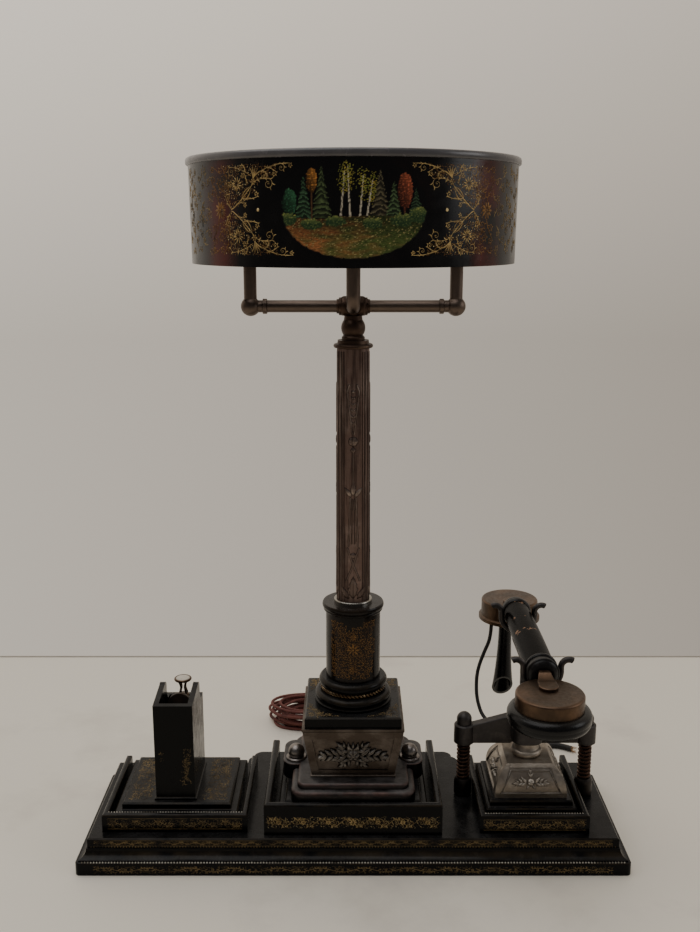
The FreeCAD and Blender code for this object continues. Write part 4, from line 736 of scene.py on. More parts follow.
def filigree(inside, box, pitch, weight, seed):
    # curls with leaves and dots on a loose grid, wherever inside says so
    draw = random.Random(seed)
    strokes, dots = [], []
    u0, v0, u1, v1 = box
    rows, cols = max(1, round((v1 - v0) / pitch)), max(1, round((u1 - u0) / pitch))
    for row in range(rows):
        for col in range(cols):
            u = u0 + (u1 - u0) * (col + 0.5 + draw.uniform(-0.22, 0.22)) / cols
            v = v0 + (v1 - v0) * (row + 0.5 + draw.uniform(-0.22, 0.22)) / rows
            size, start, hand = pitch * draw.uniform(0.3, 0.48), draw.uniform(*anyAngle), draw.choice((-1, 1))
            if not inside(u, v):
                continue
            strokes.append(curl(u, v, size, start, hand * 1.15, weight, 0.07, 12))
            for k in range(3):
                angle, reach = start + 2.1 * k + 0.6, size * draw.uniform(1.35, 1.75)
                strokes.append(leaf(*around(u, v, size * 1.02, angle), *around(u, v, reach, angle + 0.5 * hand),
                                    0.25 * size * hand, weight * 1.6, 4))
            dots.append((*around(u, v, size * 1.3, start + 3.3), weight * 1.3))
    return strokes, dots


def gather(drawings):
    # several (strokes, dots) as one
    strokes, dots = [], []
    for lines, spots in drawings:
        strokes, dots = strokes + lines, dots + spots
    return strokes, dots


def raised(strokes, dots):
    # closed three-sided strokes and low domes, as verts (u, v, height) and faces
    parts, foot = [], strokeForm["foot"]
    for line in strokes:
        rings = []
        for i, (u, v, half) in enumerate(line):
            before, after = line[max(i - 1, 0)], line[min(i + 1, len(line) - 1)]
            ahead = Vector((after[0] - before[0], after[1] - before[1]))
            x, y = (ahead.normalized() if ahead.length > 1e-9 else Vector((1, 0))) * half
            rings.append([(u - y, v + x, foot), (u, v, strokeForm["lift"]), (u + y, v - x, foot)])
        parts.append(skinned(rings))
    for u, v, radius in dots:
        ring = [(*around(u, v, radius, k * math.pi / 3), foot) for k in range(6)]
        faces = [(k, (k + 1) % 6, 6) for k in range(6)] + [(5, 4, 3, 2, 1, 0)]
        parts.append((ring + [(u, v, strokeForm["dome"])], faces))
    return joined(parts)


def onFront(y):
    return lambda u, v, h: (u * mm, (y - h) * mm, v * mm)


def onTop(z):
    return lambda u, v, h: (u * mm, v * mm, (z + h) * mm)


def onRound(radius, growth=0.0, foot=0.0):
    # around the lamp's axis; the radius grows with height
    def place(u, v, h):
        reach = (radius + growth * (v - foot) + h) * mm
        return reach * math.sin(u / radius), -reach * math.cos(u / radius), v * mm
    return place


def laid(name, verts, faces, place, finish):
    addPiece(name, meshOf(name, [place(*v) for v in verts], faces), finish, "gold")


def gild(name, strokes, dots, place, finish="gilt"):
    laid(name, *raised(strokes, dots), place, finish)


def gildRow(name, place, x, z, count, pitch, rise, weight, edge, fill, density, finish, strokes=()):
    # a vine band about (x, z) with its edge lines, rubbed flecks and further strokes
    motif = meshOf(name + "Motif", *raised(*halfVine(pitch, rise, weight)))
    row = grown(name, motif, "row", {"Count": count, "Pitch": pitch, "Turn": 1.0, "Finish": finishes[finish]})
    width = pitch * count
    left, right = x - width / 2, x + width / 2
    verts = [Vector((v.co.x + left, v.co.y + z, v.co.z)) for v in row.vertices]
    faces = [tuple(p.vertices) for p in row.polygons]
    steps = bandForm["lineSteps"]
    lines = [[(left + width * i / steps, z + side * edge, bandForm["lineWide"]) for i in range(steps + 1)]
             for side in (-1, 1)] if edge else []
    rubbed = flecks(lambda u, v: True, (left, z - fill, right, z + fill), round(width * fill * density),
                    weight * bandForm["fleckSize"], bandForm["fleckSeed"])
    extra = raised(*gather([(lines + list(strokes), []), rubbed]))
    laid(name, *joined([(verts, faces), extra]), place, finish)


bands = {
    "base_board": dict(name="boardGilding", x=0, z=5.2, count=24, pitch=17.5, rise=1.7, weight=0.3, edge=0, fill=3.0,
                       density=0.8, finish="giltFaint"),
    "left_tray": dict(name="leftTrayGilding", x=-146, z=35.2, count=12, pitch=9.2, rise=2.0, weight=0.3, edge=4.6,
                      fill=3.9, density=0.8, finish="giltFaint"),
    "lamp_tray": dict(name="lampTrayGilding", x=0, z=39.0, count=14, pitch=10.1, rise=2.9, weight=0.17, edge=0,
                      fill=5.2, density=0.45, finish="gilt"),
    "phone_tray": dict(name="phoneTrayGilding", x=148.5, z=35.2, count=9, pitch=9.3, rise=2.0, weight=0.3, edge=4.6,
                       fill=3.9, density=0.8, finish="giltFaint"),
}
tierBand = dict(name="tierGilding", place=onFront(-62.5), x=0, z=23.4, count=74, pitch=5.7, rise=1.0, weight=0.24,
                edge=2.3, fill=1.9, density=0.8, finish="giltFaint")
trayFlowers = dict(z=39.0, pitch=20.2, beside=3, radius=2.2, middleRadius=3.2, curled=4.9, count=170, wide=70, high=5,
                   seed=5)


def makeBands(z, pitch, beside, radius, middleRadius, curled, count, wide, high, seed):
    # the lamp tray has seven flowers in curls and bright dots among them
    draw = random.Random(seed)
    strokes, dots = [], [(draw.uniform(-wide, wide), z + draw.uniform(-high, high), draw.uniform(0.2, 0.4))
                         for _ in range(count)]
    for k in range(-beside, beside + 1):
        strokes += rosette(pitch * k, z, radius if k else middleRadius)[0]
        for side in (-1, 1):
            strokes.append(curl(pitch * k, z, curled, math.pi * (0.5 - 0.4 * side), 0.45 * side, 0.22, 0.14))
            dots += [(pitch * k + 5.6 * side, z + 3.4 * way, 0.42) for way in (-1, 1)]
    bands["lamp_tray"]["strokes"] = strokes
    for node, band in bands.items():
        gildRow(place=onFront(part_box(node)[0][1] / mm), **band)
    gild("lampTrayDots", [], dots, onFront(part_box("lamp_tray")[0][1] / mm), "giltBright")
    gildRow(**tierBand)


makeBands(**trayFlowers)


def inDrum(u, v):
    return abs(u) < 19.5 and 149 < v < 197 and not (abs(u) < 6 and v > 193)


def inCase(u, v):
    return (61 < v < 92 and -142 + 0.1 * (v - 61) < u < -134.5) or (-160 < u < -157 and 83 < v < 90)


def onStrip(u, v):
    return 12 < abs(u + 146) - 10 < 30 and abs(v + 3) < 34


def inCorner(u, v):
    return u * u + v * v > 38 ** 2 and abs(u) < 36.5 and abs(v) < 36.5


drumPanel = {"radius": 22.6, "fill": {"box": (-21, 148, 21, 198), "pitch": 3.3, "weight": 0.24, "seed": 3},
             "rosettes": [(0, 174, 5.6), (0, 157, 3.6), (0, 185, 3.0)]}
drumDrawing = gather([filigree(inDrum, **drumPanel["fill"])] + [rosette(*at) for at in drumPanel["rosettes"]])
gild("drumGilding", *drumDrawing, onRound(drumPanel["radius"]), "giltDark")
rubbedPanels = {
    # the case's front, the strips beside it and the slab's corners: area, box, count, size and seed, and the face
    "caseGilding": (inCase, (-161, 60, -134, 94), 70, 1.5, 8, onFront(-36.0)),
    "plinthGilding": (onStrip, (-188, -38, -104, 32), 900, 1.7, 12, onTop(47.5)),
    "slabGilding": (inCorner, (-38, -38, 38, 38), 420, 1.5, 21, onTop(122.4)),
}
for name, (*area, face) in rubbedPanels.items():
    gild(name, *flecks(*area), face, "giltFaint")
print("bands and panels gilded")


# shade: corner sprays, side bands and a small painted wood

shadeWall = {"radius": 123.5, "growth": 1.0 / 68.4, "foot": 518.8, "middle": 522.2, "shift": -1, "squash": 0.95}
sprayScrolls = {
    # start, middle, radius, hand and weight, in the upper right quarter
    "near": [(69.5, 19, 57.5, 17.5, 3.8, 1, 0.25), (68, 23, 47.5, 28, 2.8, 1, 0.25), (71, 23, 89, 26, 3.6, -1, 0.25),
             (62, 27, 60, 22.8, 1.8, 1, 0.28), (76, 27, 79, 29, 1.7, -1, 0.28), (79, 8, 67.5, 10.5, 1.9, -1, 0.28),
             (85, 4, 77.5, 3.4, 1.5, 1, 0.26), (60, 29, 53, 24.4, 1.9, 1, 0.28), (90, 1, 93, 9, 2.6, 1, 0.3),
             (84, 12, 90, 17.5, 2.2, -1, 0.28), (75, 18, 78, 23, 1.9, -1, 0.28), (56, 28.6, 41.5, 29.4, 1.5, 1, 0.3)],
    "far": [(90, 1, 99, 10, 3.4, -1, 0.3), (98, 13, 101.5, 19, 2.8, 1, 0.28), (94, 21, 100, 27, 2.8, -1, 0.28),
            (104, 6, 109, 11.5, 2.9, -1, 0.26), (106, 14, 109, 21, 2.7, 1, 0.26), (104, 27, 110, 28, 2.1, -1, 0.26),
            (93, 11, 95, 16, 2.0, -1, 0.26)],
}
sprayStem = {"foot": (90, 0.5), "run": (-20.5, 17.5), "power": (1.15, 1.5), "steps": 12, "wide": 0.45, "thinner": 0.01}
sprayBud = {"line": (80, 5.5, 71.5, 16), "bows": (-2.3, 2.3), "wide": 0.34, "rosette": (69.5, 19, 2.4, 6)}
sprayFan = {"u": 69.5, "v": 21, "reach": 8.5, "angles": [72, 89, 106, 123, 140]}
sprayStar = {"u": 84, "v": 18, "near": 1.4, "far": 5, "rays": 11}
brightDots = {"seed": 31, "count": 75, "u": (44, 99), "v": (1, 31), "radius": (0.28, 0.55), "middle": 66,
              "middleRadius": 1.5}
sprayFill = {"box": (46, 2, 99, 31), "pitch": 4.5, "weight": 0.17, "seed": 33}
sideRosettes = {"u": 103, "sizes": [(6.0, 10), (3.2, 7)], "dotUp": 25.5, "dotRadius": 1.2}
sideScrolls = dict(cols=6, rows=5, first=117, across=8, up=12, low=-3, loose=2, sizes=(1.8, 3.4), weight=0.22)


def shadeSpot(u, v, h):
    return onRound(shadeWall["radius"], shadeWall["growth"], shadeWall["foot"])(u, v + shadeWall["middle"], h)


def inSpray(u, v):
    return u > 84 - 1.2 * v


def fourWays(strokes, dots):
    # the same in all four quarters of the front
    def moved(line, wayU, wayV):
        return [(u * wayU + shadeWall["shift"], v * wayV * shadeWall["squash"], w) for u, v, w in line]
    ways = [(wayU, wayV) for wayU in (-1, 1) for wayV in (-1, 1)]
    return [moved(line, *way) for way in ways for line in strokes], [dot for way in ways for dot in moved(dots, *way)]


def sideBandScrolls(draw, cols, rows, first, across, up, low, loose, sizes, weight):
    scrolls = []
    for k in range(cols):
        for row in range(rows):
            for side in (-1, 1):
                u = side * (first + across * k + draw.uniform(-loose, loose))
                v = up * (row - 2 + 0.5 * (k % 2)) + low + draw.uniform(-loose, loose)
                way, size = draw.uniform(*anyAngle), draw.uniform(*sizes)
                start = u + 7 * math.cos(way), v + 5 * math.sin(way)
                scrolls.append(scroll(*start, u, v, size, draw.choice((-1, 1)), weight))
    return scrolls


def makeSprays():
    draw = random.Random(brightDots["seed"])
    steps, stem = sprayStem["steps"], []
    for i in range(steps + 1):
        u, v = [foot + run * (i / steps) ** power for foot, run, power in zip(
            sprayStem["foot"], sprayStem["run"], sprayStem["power"])]
        stem.append((u, v, sprayStem["wide"] - sprayStem["thinner"] * i))
    strokes = [stem] + [leaf(*sprayBud["line"], bow, sprayBud["wide"]) for bow in sprayBud["bows"]]
    u, v = sprayFan["u"], sprayFan["v"]
    for k, angle in enumerate(sprayFan["angles"]):
        strokes.append(leaf(u, v, *around(u, v, sprayFan["reach"], math.radians(angle)), 0.7 - 0.35 * k, 0.42))
    strokes += star(*sprayStar.values(), 0.4, 0.5, 4)
    dots = [(78 - 1.5 * k, 7.4 + 1.9 * k, 0.5) for k in range(4)]
    near = [(strokes, dots), rosette(*sprayBud["rosette"])] + [scroll(*place) for place in sprayScrolls["near"]]
    gild("shadeSprays", *fourWays(*gather(near)), shadeSpot)

    bright = []
    while len(bright) < brightDots["count"]:
        u, v = draw.uniform(*brightDots["u"]), draw.uniform(*brightDots["v"])
        if inSpray(u, v):
            bright.append((u, v, draw.uniform(*brightDots["radius"])))
    middles = [(brightDots["middle"] * side + shadeWall["shift"], 0, brightDots["middleRadius"]) for side in (-1, 1)]
    gild("shadeSprayDots", *gather([fourWays([], bright), ([], middles)]), shadeSpot, "giltBright")

    tips = [filigree(inSpray, **sprayFill)] + [scroll(*place) for place in sprayScrolls["far"]]
    tips = [fourWays(*gather(tips))]
    for u in (-sideRosettes["u"], sideRosettes["u"]):
        tips += [rosette(u, 0, size, petals) for size, petals in sideRosettes["sizes"]]
        tips.append(([], [(u, sideRosettes["dotUp"] * way, sideRosettes["dotRadius"]) for way in (1, -1)]))
    # the darker gilt on the tips, far scrolls and side rosettes is partly painted shade, darker toward the shade's
    # sides
    gild("shadeSprayTips", *gather(tips), shadeSpot, "giltDark")

    gild("shadeSideBands", *gather(sideBandScrolls(draw, **sideScrolls)), shadeSpot, "giltFaint")


makeSprays()


def ringOf(profile, sides=160):
    # a closed profile of (radius, height) pairs, carried around the lamp's axis
    turns = [around(0, 0, mm, fullTurn * k / sides) for k in range(sides)]
    return skinned([[(r * c, r * s, z * mm) for r, z in profile] for c, s in turns], closed=True)


rimProfiles = {
    # a rolled rim over a black step that goes on from the wall; the rim's light grey is a painted reflection on what is
    # black lacquer
    "shadeRim": ("lacquerRimPaintedReflection", [(116.2, 555.4), (124.4, 555.4), (125.4, 555.7), (125.95, 556.6), (125.95, 559),
                                (125.5, 560.2), (124.4, 560.9), (117.2, 561), (116.2, 560.2)]),
    "shadeStep": ("lacquerShade", [(116, 553), (124, 553), (124.04, 554.2), (124.04, 555.6), (116, 555.6)]),
}
for name, (finish, profile) in rimProfiles.items():
    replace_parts(addPiece(name, meshOf(name, *ringOf(profile), crease=sharpBend), finish, "black_lacquer"), "shade_rim")

woodland = {
    "half": (50.5, 32.6), "centre": (0.0, 0.4), "step": 0.5, "front": 0.07, "sink": 0.1, "back": -0.25,
    # place, foot, height, half width and colour
    "firs": [(0.34, -0.24, 0.98, 0.15, (112, 104, 78)), (0.52, -0.26, 0.80, 0.13, (92, 116, 76)),
             (-0.66, -0.22, 0.84, 0.13, (70, 104, 72)), (-0.42, -0.18, 1.00, 0.14, (88, 104, 66)),
             (0.82, -0.16, 0.56, 0.11, (66, 92, 64))],
    # place and middle of the crown, half width, half height and colour
    "crowns": [(0.67, 0.36, 0.10, 0.36, (176, 92, 64)), (-0.86, 0.14, 0.11, 0.26, (60, 112, 76)),
               (-0.55, 0.56, 0.07, 0.24, (190, 128, 62))],
    # place of the foot, lean, top
    "birches": [(-0.17, 0.05, 0.74), (-0.05, -0.03, 0.82), (0.08, 0.04, 0.66), (0.17, 0.07, 0.56)],
    # place, middle, half width and half height
    "bushes": [(-0.88, -0.2, 0.12, 0.12), (-0.24, -0.24, 0.14, 0.10), (0.24, -0.28, 0.13, 0.10),
               (0.64, -0.22, 0.16, 0.13), (0.86, -0.12, 0.12, 0.16), (-0.56, -0.3, 0.15, 0.10)],
}
woodTones = {name: Vector(tone) for name, tone in {
    "black": (10, 8, 8), "bark": (196, 186, 164), "yellow": (196, 164, 72), "green": (112, 132, 58),
    "trunk": (84, 60, 40), "grass": (84, 98, 50), "path": (168, 110, 66), "straw": (190, 176, 112),
    "bush": (40, 62, 38), "bushLit": (176, 176, 92)}.items()}


def woodTone(p, q):
    # the colour of the painted wood at a place in its oval, -1 to 1 both ways
    def cloud(scale, shift, stretch=1.0):
        return noise.noise(Vector((p * scale, q * scale * stretch, shift)))

    tone = woodTones["black"]
    horizon = -0.18 + 0.05 * math.sin(4 * p + 1) + 0.1 * p * p + 0.03 * cloud(9, 2)
    for x, lean, top in woodland["birches"]:
        t = (q - horizon) / (top - horizon)
        if 0 < t < 1 and abs(p - x - lean * t) < 0.011 * (1.2 - 0.7 * t):
            tone = woodTones["bark"] * (0.6 if cloud(46, 17, 0.4) > 0.12 else 1.0)
        r = math.hypot((p - x - lean) / 0.1, (q - top + 0.16) / 0.34)
        if r < 1 and cloud(48, 19 + x, 1.2) > 0.06 + 0.35 * r * r:
            tone = woodTones["yellow"].lerp(woodTones["green"], 0.5 + 0.5 * cloud(14, 23))
    for x, base, tall, wide, colour in woodland["firs"]:
        t = (q - base) / tall
        if 0 < t < 1:
            tier = (t * 9 + 0.7 * abs(p - x) / (wide * (1.04 - t)) + 0.5 * cloud(13, 3)) % 1
            half = wide * (1.04 - t) * (0.7 + 0.3 * (1 - tier)) + 0.016 * cloud(40, 1)
            if abs(p - x) < half:
                tone = Vector(colour) * (0.34 + 0.75 * max(0, 1 - 1.7 * tier) + 0.2 * cloud(60, 7))
    for x, y, wide, tall, colour in woodland["crowns"]:
        r = math.hypot((p - x) / wide, (q - y) / tall) + 0.2 * cloud(22, 11)
        if r < 1:
            tone = Vector(colour) * (0.5 + 0.9 * max(0, cloud(40, 5)) + 0.2 * (q - y) / tall + 0.2 * (p - x) / wide)
        elif abs(p - x) < 0.011 and horizon - 0.05 < q < y:
            tone = woodTones["trunk"] * (1 + 0.3 * cloud(50, 8))
    if q < horizon:
        depth = min(1, (horizon - q) / 0.5)
        side = min(1, max(0, 0.36 - 0.8 * p + 0.7 * cloud(5, 6, 2.4)))
        ground = woodTones["grass"].lerp(woodTones["path"], side)
        tone = ground * (0.5 + 0.4 * depth + 0.4 * cloud(22, 9, 4.0) + 0.25 * cloud(60, 12, 2.0))
        if cloud(34, 15, 4.5) > 0.42:
            tone = woodTones["straw"] * (0.8 + 0.4 * cloud(70, 25))
    for x, y, wide, tall in woodland["bushes"]:
        r = math.hypot((p - x) / wide, (q - y) / tall) + 0.35 * cloud(24, 13)
        if r < 1:
            lit = max(0, cloud(44, 14)) + 0.5 * max(0, (q - y) / tall)
            tone = woodTones["bush"].lerp(woodTones["bushLit"], min(1, 0.9 * lit))
    rim = p * p + q * q + 0.04 * cloud(12, 20)
    return woodTones["black"].lerp(tone, min(1, max(0, (0.97 - rim) / 0.05)))


def makePaintFinish():
    material, tree, shader, place = newMaterial("paint")
    surface = useGroup(tree, "surfaceGrain", {"Vector": place, "Scale": 500.0})
    feed(tree, shader, {
        "Base Color": put(tree, "Attribute", attribute_name="paint").outputs["Color"], "Specular IOR Level": 0.3,
        "Roughness": ramp(tree, surface["Value"], 0.0, 1.0, 0.16, 0.32),
        "Normal": relief(tree, surface["Height"], 0.06, 0.0004)})
    return material


def shell(cells, front, back):
    # closed sheets over the chosen cells of a grid; front and back give each corner's place
    verts, faces, index = [], [], {}

    def corner(key, sheet):
        if (key, sheet) not in index:
            index[key, sheet] = len(verts)
            verts.append((back if sheet else front)[key])
        return index[key, sheet]
    for i, j in cells:
        ring = [(i, j), (i + 1, j), (i + 1, j + 1), (i, j + 1)]
        faces.append([corner(key, 0) for key in ring])
        faces.append([corner(key, 1) for key in reversed(ring)])
        for a, b, beyond in zip(ring, ring[1:] + ring[:1], [(i, j - 1), (i + 1, j), (i, j + 1), (i - 1, j)]):
            if beyond not in cells:
                faces.append([corner(b, 0), corner(a, 0), corner(a, 1), corner(b, 1)])
    return verts, faces, index


def makeWoodland(wood):
    (halfU, halfV), step = wood["half"], wood["step"]
    countU, countV = round(2 * halfU / step), round(2 * halfV / step)
    front, back, tones, cells = {}, {}, {}, set()
    for i in range(countU + 1):
        for j in range(countV + 1):
            p, q = 2 * i / countU - 1, 2 * j / countV - 1
            u, v = p * halfU + wood["centre"][0], q * halfV + wood["centre"][1]
            front[i, j] = shadeSpot(u, v, wood["front"] - wood["sink"] * min(1, p * p + q * q) ** 4)
            back[i, j] = shadeSpot(u, v, wood["back"])
            tones[i, j] = woodTone(p, q)
            if i < countU and j < countV and (p + 1 / countU) ** 2 + (q + 1 / countV) ** 2 < 0.985:
                cells.add((i, j))
    verts, faces, index = shell(cells, front, back)
    mesh = meshOf("shadeWoodland", verts, faces, crease=sharpBend)
    layer = mesh.color_attributes.new("paint", "FLOAT_COLOR", "POINT")
    for (key, _), k in index.items():
        layer.data[k].color = tint(*[max(0, min(255, c)) for c in tones[key]])
    finishes["paint"] = makePaintFinish()
    addPiece("shadeWoodland", mesh, "paint", "black_lacquer")


makeWoodland(woodland)
print("shade painted")


# beads and rope

beadRows = {
    "boardBeads": {"spacing": 2.4, "radius": 0.75, "finish": "silverGilt",
                   "lines": [[(-219, -70.4, 11.1), (219, -70.4, 11.1)]]},
    "tierBeads": {"spacing": 2.4, "radius": 0.5, "finish": "giltFaint",
                  "lines": [[(-213, -62.3, 20.2), (213, -62.3, 20.2)]]},
    "trayBeads": {"spacing": 2.2, "radius": 0.65, "finish": "silverGilt",
                  "lines": [[(-200.6, -48.0, 42.7), (-91.4, -48.0, 42.7)],
                            [(108.7, -49.9, 42.7), (188.3, -49.9, 42.7)]]},
}
ropeRing = dict(major=25.8, height=134.4, strands=52, radius=1.75, slant=0.8, count=96)


def pathMesh(name, points, edges):
    path = bpy.data.meshes.new(name)
    path.from_pydata([Vector(p) * mm for p in points], edges, [])
    return path


def makeBeads(name, row):
    points = [point for line in row["lines"] for point in line]
    path = pathMesh(name + "Path", points, [(i, i + 1) for i in range(0, len(points), 2)])
    mesh = grown(name, path, "beads", {"Spacing": row["spacing"] * mm, "Radius": row["radius"] * mm,
                                       "Finish": finishes[row["finish"]]})
    addPiece(name, mesh, row["finish"], "gold")


def makeRope(major, height, strands, radius, slant, count):
    points = [(*around(0, 0, major, fullTurn * k / count), height) for k in range(count)]
    path = pathMesh("ropePath", points, [(k, (k + 1) % count) for k in range(count)])
    mesh = grown("ropeTwist", path, "rope", {"Count": strands, "Radius": radius * mm, "Slant": slant,
                                             "Finish": finishes["ropeBronze"]})
    piece = addPiece("ropeTwist", mesh, "ropeBronze", "gold")
    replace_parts(piece, "rope_ring")


for name, row in beadRows.items():
    makeBeads(name, row)
makeRope(**ropeRing)
print("beads and rope laid")


# carvings: leaves raised from the castings' own faces

carvingDepth = {"least": 0.02, "edge": 0.2, "back": 0.7}


def leafRise(u, v, at):
    # height of one leaf at (u, v); at is (u, v, heading, length, width, rise)
    c, s = math.cos(at[2]), math.sin(at[2])
    along, side = (u - at[0]) * c + (v - at[1]) * s, (v - at[1]) * c - (u - at[0]) * s
    t = along / at[3]
    if not 0 < t < 1:
        return 0.0
    half = at[4] / 2 * math.sin(math.pi * t ** 0.75) * (0.9 + 0.1 * math.cos(t * 30))
    if abs(side) >= half or half <= 0:
        return 0.0
    body = math.sqrt(1 - (side / half) ** 2) * (0.55 + 0.45 * math.sin(math.pi * t))
    rib = 0.22 * math.exp(-(side / (0.07 * at[4])) ** 2)
    vein = 0.1 * math.cos((along - abs(side) * 1.1) * fullTurn / (0.2 * at[3]))
    return at[5] * max(0.05, body - rib + vein * (abs(side) / half))


def ridgeRise(u, v, ridge):
    # height of a rounded bar; ridge is (u, v, u, v, half width, rise)
    start, end = Vector(ridge[:2]), Vector(ridge[2:4])
    along = end - start
    t = min(1, max(0, (Vector((u, v)) - start).dot(along) / along.length_squared))
    off = (Vector((u, v)) - start - along * t).length / ridge[4]
    return ridge[5] * math.sqrt(1 - off * off) if off < 1 else 0.0


def bloomRise(u, v, bloom):
    # height of a flower with a button; bloom is (u, v, radius, rise, petals)
    reach, angle = math.hypot(u - bloom[0], v - bloom[1]) / bloom[2], math.atan2(v - bloom[1], u - bloom[0])
    if reach >= 1:
        return 0.0
    if reach <= 0.3:
        return bloom[3] * (1.1 - reach)
    return bloom[3] * (1 - reach ** 4) * (0.62 + 0.38 * abs(math.cos(bloom[4] * angle / 2)) ** 0.7)


def carve(name, onto, finish, slot, replaced, box, cells, sides, leaves, blooms, ridges):
    # a grid of rays onto the casting; leaves, blooms and ridges stand out from where they land
    skin = bmesh.new()
    skin.from_mesh(nodes[onto].data)
    ground = BVHTree.FromBMesh(skin)
    skin.free()
    (u0, v0, u1, v1), (cols, rows), least = box, cells, carvingDepth["least"]
    parts, rises = [], []
    for way in sides:
        front, back, high, chosen = {}, {}, {}, set()
        for i in range(cols + 1):
            for j in range(rows + 1):
                u, v = u0 + (u1 - u0) * i / cols, v0 + (v1 - v0) * j / rows
                rise = max([leafRise(u, v, at) for at in leaves] + [bloomRise(u, v, at) for at in blooms]
                           + [ridgeRise(u, v, at) for at in ridges])
                start, heading = way(u, v)
                spot, normal, _, _ = ground.ray_cast(Vector(start) * mm, Vector(heading))
                if spot is None:
                    continue
                normal = (normal if normal.dot(Vector(heading)) < 0 else -normal) * mm
                high[i, j] = rise
                front[i, j] = spot + normal * (rise if rise > least else -carvingDepth["edge"])
                back[i, j] = spot - normal * carvingDepth["back"]
        for i in range(cols):
            for j in range(rows):
                ring = [(i, j), (i + 1, j), (i + 1, j + 1), (i, j + 1)]
                if all(key in high for key in ring) and max(high[key] for key in ring) > least:
                    chosen.add((i, j))
        verts, faces, index = shell(chosen, front, back)
        parts.append((verts, faces))
        peak = max(high.values())
        rises += [0.0 if sheet else high[key] / peak for key, sheet in index]
    mesh = meshOf(name, *joined(parts))
    mesh.attributes.new("rise", "FLOAT", "POINT").data.foreach_set("value", rises)
    piece = addPiece(name, mesh, finish, slot)
    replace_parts(piece, replaced)


def sprig(u, v, heading, length, bend, count, size, rise):
    # leaves in pairs along a bent stem, smaller to the tip
    leaves = []
    for k in range(count):
        t = (k + 0.5) / count
        small = size * (1 - 0.4 * t)
        for side in (-0.62, 0.62):
            leaves.append((*around(u, v, length * t, heading + bend * t / 2), heading + bend * t + side, small,
                           small * 0.42, rise * (1 - 0.2 * t)))
    return leaves + [(*around(u, v, length * 0.9, heading + bend / 2), heading + bend, size * 0.8, size * 0.34, rise)]


def sprigs(u, v, heading, length, bend, *form):
    # one to the left and one to the right
    return sprig(-u, v, math.pi - heading, length, bend, *form) + sprig(u, v, heading, length, -bend, *form)


def mirrored(ridges):
    return [(side * a, b, side * c, d, half, rise) for a, b, c, d, half, rise in ridges for side in (-1, 1)]


def sideOf(x, y, away, turn):
    # rays onto one side of what stands at (x, y), by quarter turns
    c, s = round(math.cos(turn * math.pi / 2)), round(math.sin(turn * math.pi / 2))
    return lambda u, v: ((x + u * c + away * s, y + u * s - away * c, v), (-s, c, 0))


upright = math.pi / 2
carvings = {
    "dieCarving": {
        "onto": "pedestal_die", "finish": "castingRelief", "slot": "pewter", "replaced": "pedestal_relief",
        "box": (-29, 76.6, 29, 101), "cells": (150, 64), "sides": [sideOf(0, 0, 200, 0)],
        "leaves": sprigs(3, 87.5, 0.15, 21, 0.3, 4, 12.5, 3.6) + sprigs(2, 90, 0.95, 9, 0.3, 2, 10.0, 3.2)
        + sprigs(2, 86, -0.95, 8, -0.3, 2, 9.5, 3.2) + sprig(0, 90, upright, 5, 0.0, 1, 8.0, 3.2),
        "blooms": [(0, 88.5, 6.2, 4.2, 6)], "ridges": [],
    },
    "bellCarving": {
        "onto": "phone_bell", "finish": "bellRelief", "slot": "pewter", "replaced": "bell_reliefs",
        "box": (-27, 49, 27, 69), "cells": (150, 60), "sides": [sideOf(148.5, -2, 100, k) for k in range(4)],
        "leaves": sprigs(2, 58.5, 0.2, 9.5, 0.35, 3, 7.0, 1.7) + sprig(0, 60.5, upright, 4.6, 0.0, 1, 5.2, 1.5)
        + [(-1, 57, -2.3, 5.0, 2.4, 1.4), (1, 57, -0.84, 5.0, 2.4, 1.4)],
        "blooms": [(0, 59, 3.2, 2.0, 5)],
        "ridges": mirrored([(25, 50.5, 16.5, 67.2, 0.8, 0.7)])
        + [(-16.5, 67.2, 16.5, 67.2, 0.8, 0.7), (25, 50.5, -25, 50.5, 0.8, 0.7)],
    },
    # from the foot up: a bud, crossing stems, long flutes, a cup, a stem, a flower and a drop with small leaves
    "columnCarving": {
        "onto": "column", "finish": "columnRelief", "slot": "bronze", "replaced": "column_relief",
        "box": (-10.4, 213, 10.4, 417), "cells": (52, 300), "sides": [sideOf(0, 0, 50, k) for k in range(4)],
        "leaves": [(0, 215.5, upright, 19, 8.4, 1.0), (-3.4, 215, 2.1, 13, 4.6, 0.8), (3.4, 215, 1.04, 13, 4.6, 0.8),
                   (0, 302, upright, 12, 4.6, 1.0), (-1.4, 301, 2.2, 10, 4.0, 0.9), (1.4, 301, 0.94, 10, 4.0, 0.9)]
        + sprig(0, 357, upright, 30, 0.0, 6, 4.6, 0.9),
        "blooms": [(0, 252, 2.4, 1.0, 4), (0, 346, 4.0, 1.1, 5), (0, 339, 2.2, 0.9, 4)],
        "ridges": [(0, 312, 0, 338, 0.8, 0.8)] + mirrored([
            (9.4, 213, 9.4, 417, 0.7, 0.5), (7.4, 213, 7.4, 417, 0.4, 0.3), (5.4, 231, 0, 244, 0.8, 0.8),
            (0, 244, 4.6, 258, 0.8, 0.8), (3.6, 260, 2.4, 300, 0.7, 0.7), (1.2, 262, 0.8, 299, 0.5, 0.5),
            (0.8, 352, 4.8, 386, 0.7, 0.8), (4.8, 386, 3.0, 391, 0.7, 0.8)]),
    },
}
for name, form in carvings.items():
    carve(name, **form)
print("carvings raised")


# springs, wound between the cups and the yoke

springs = {"left": (95.9, 7.5), "right": (201.1, 7.5)}
springShape = dict(coil=4.75, wire=1.2, turns=10, perTurn=18, foot=44.0, top=77.6, closed=0.06)


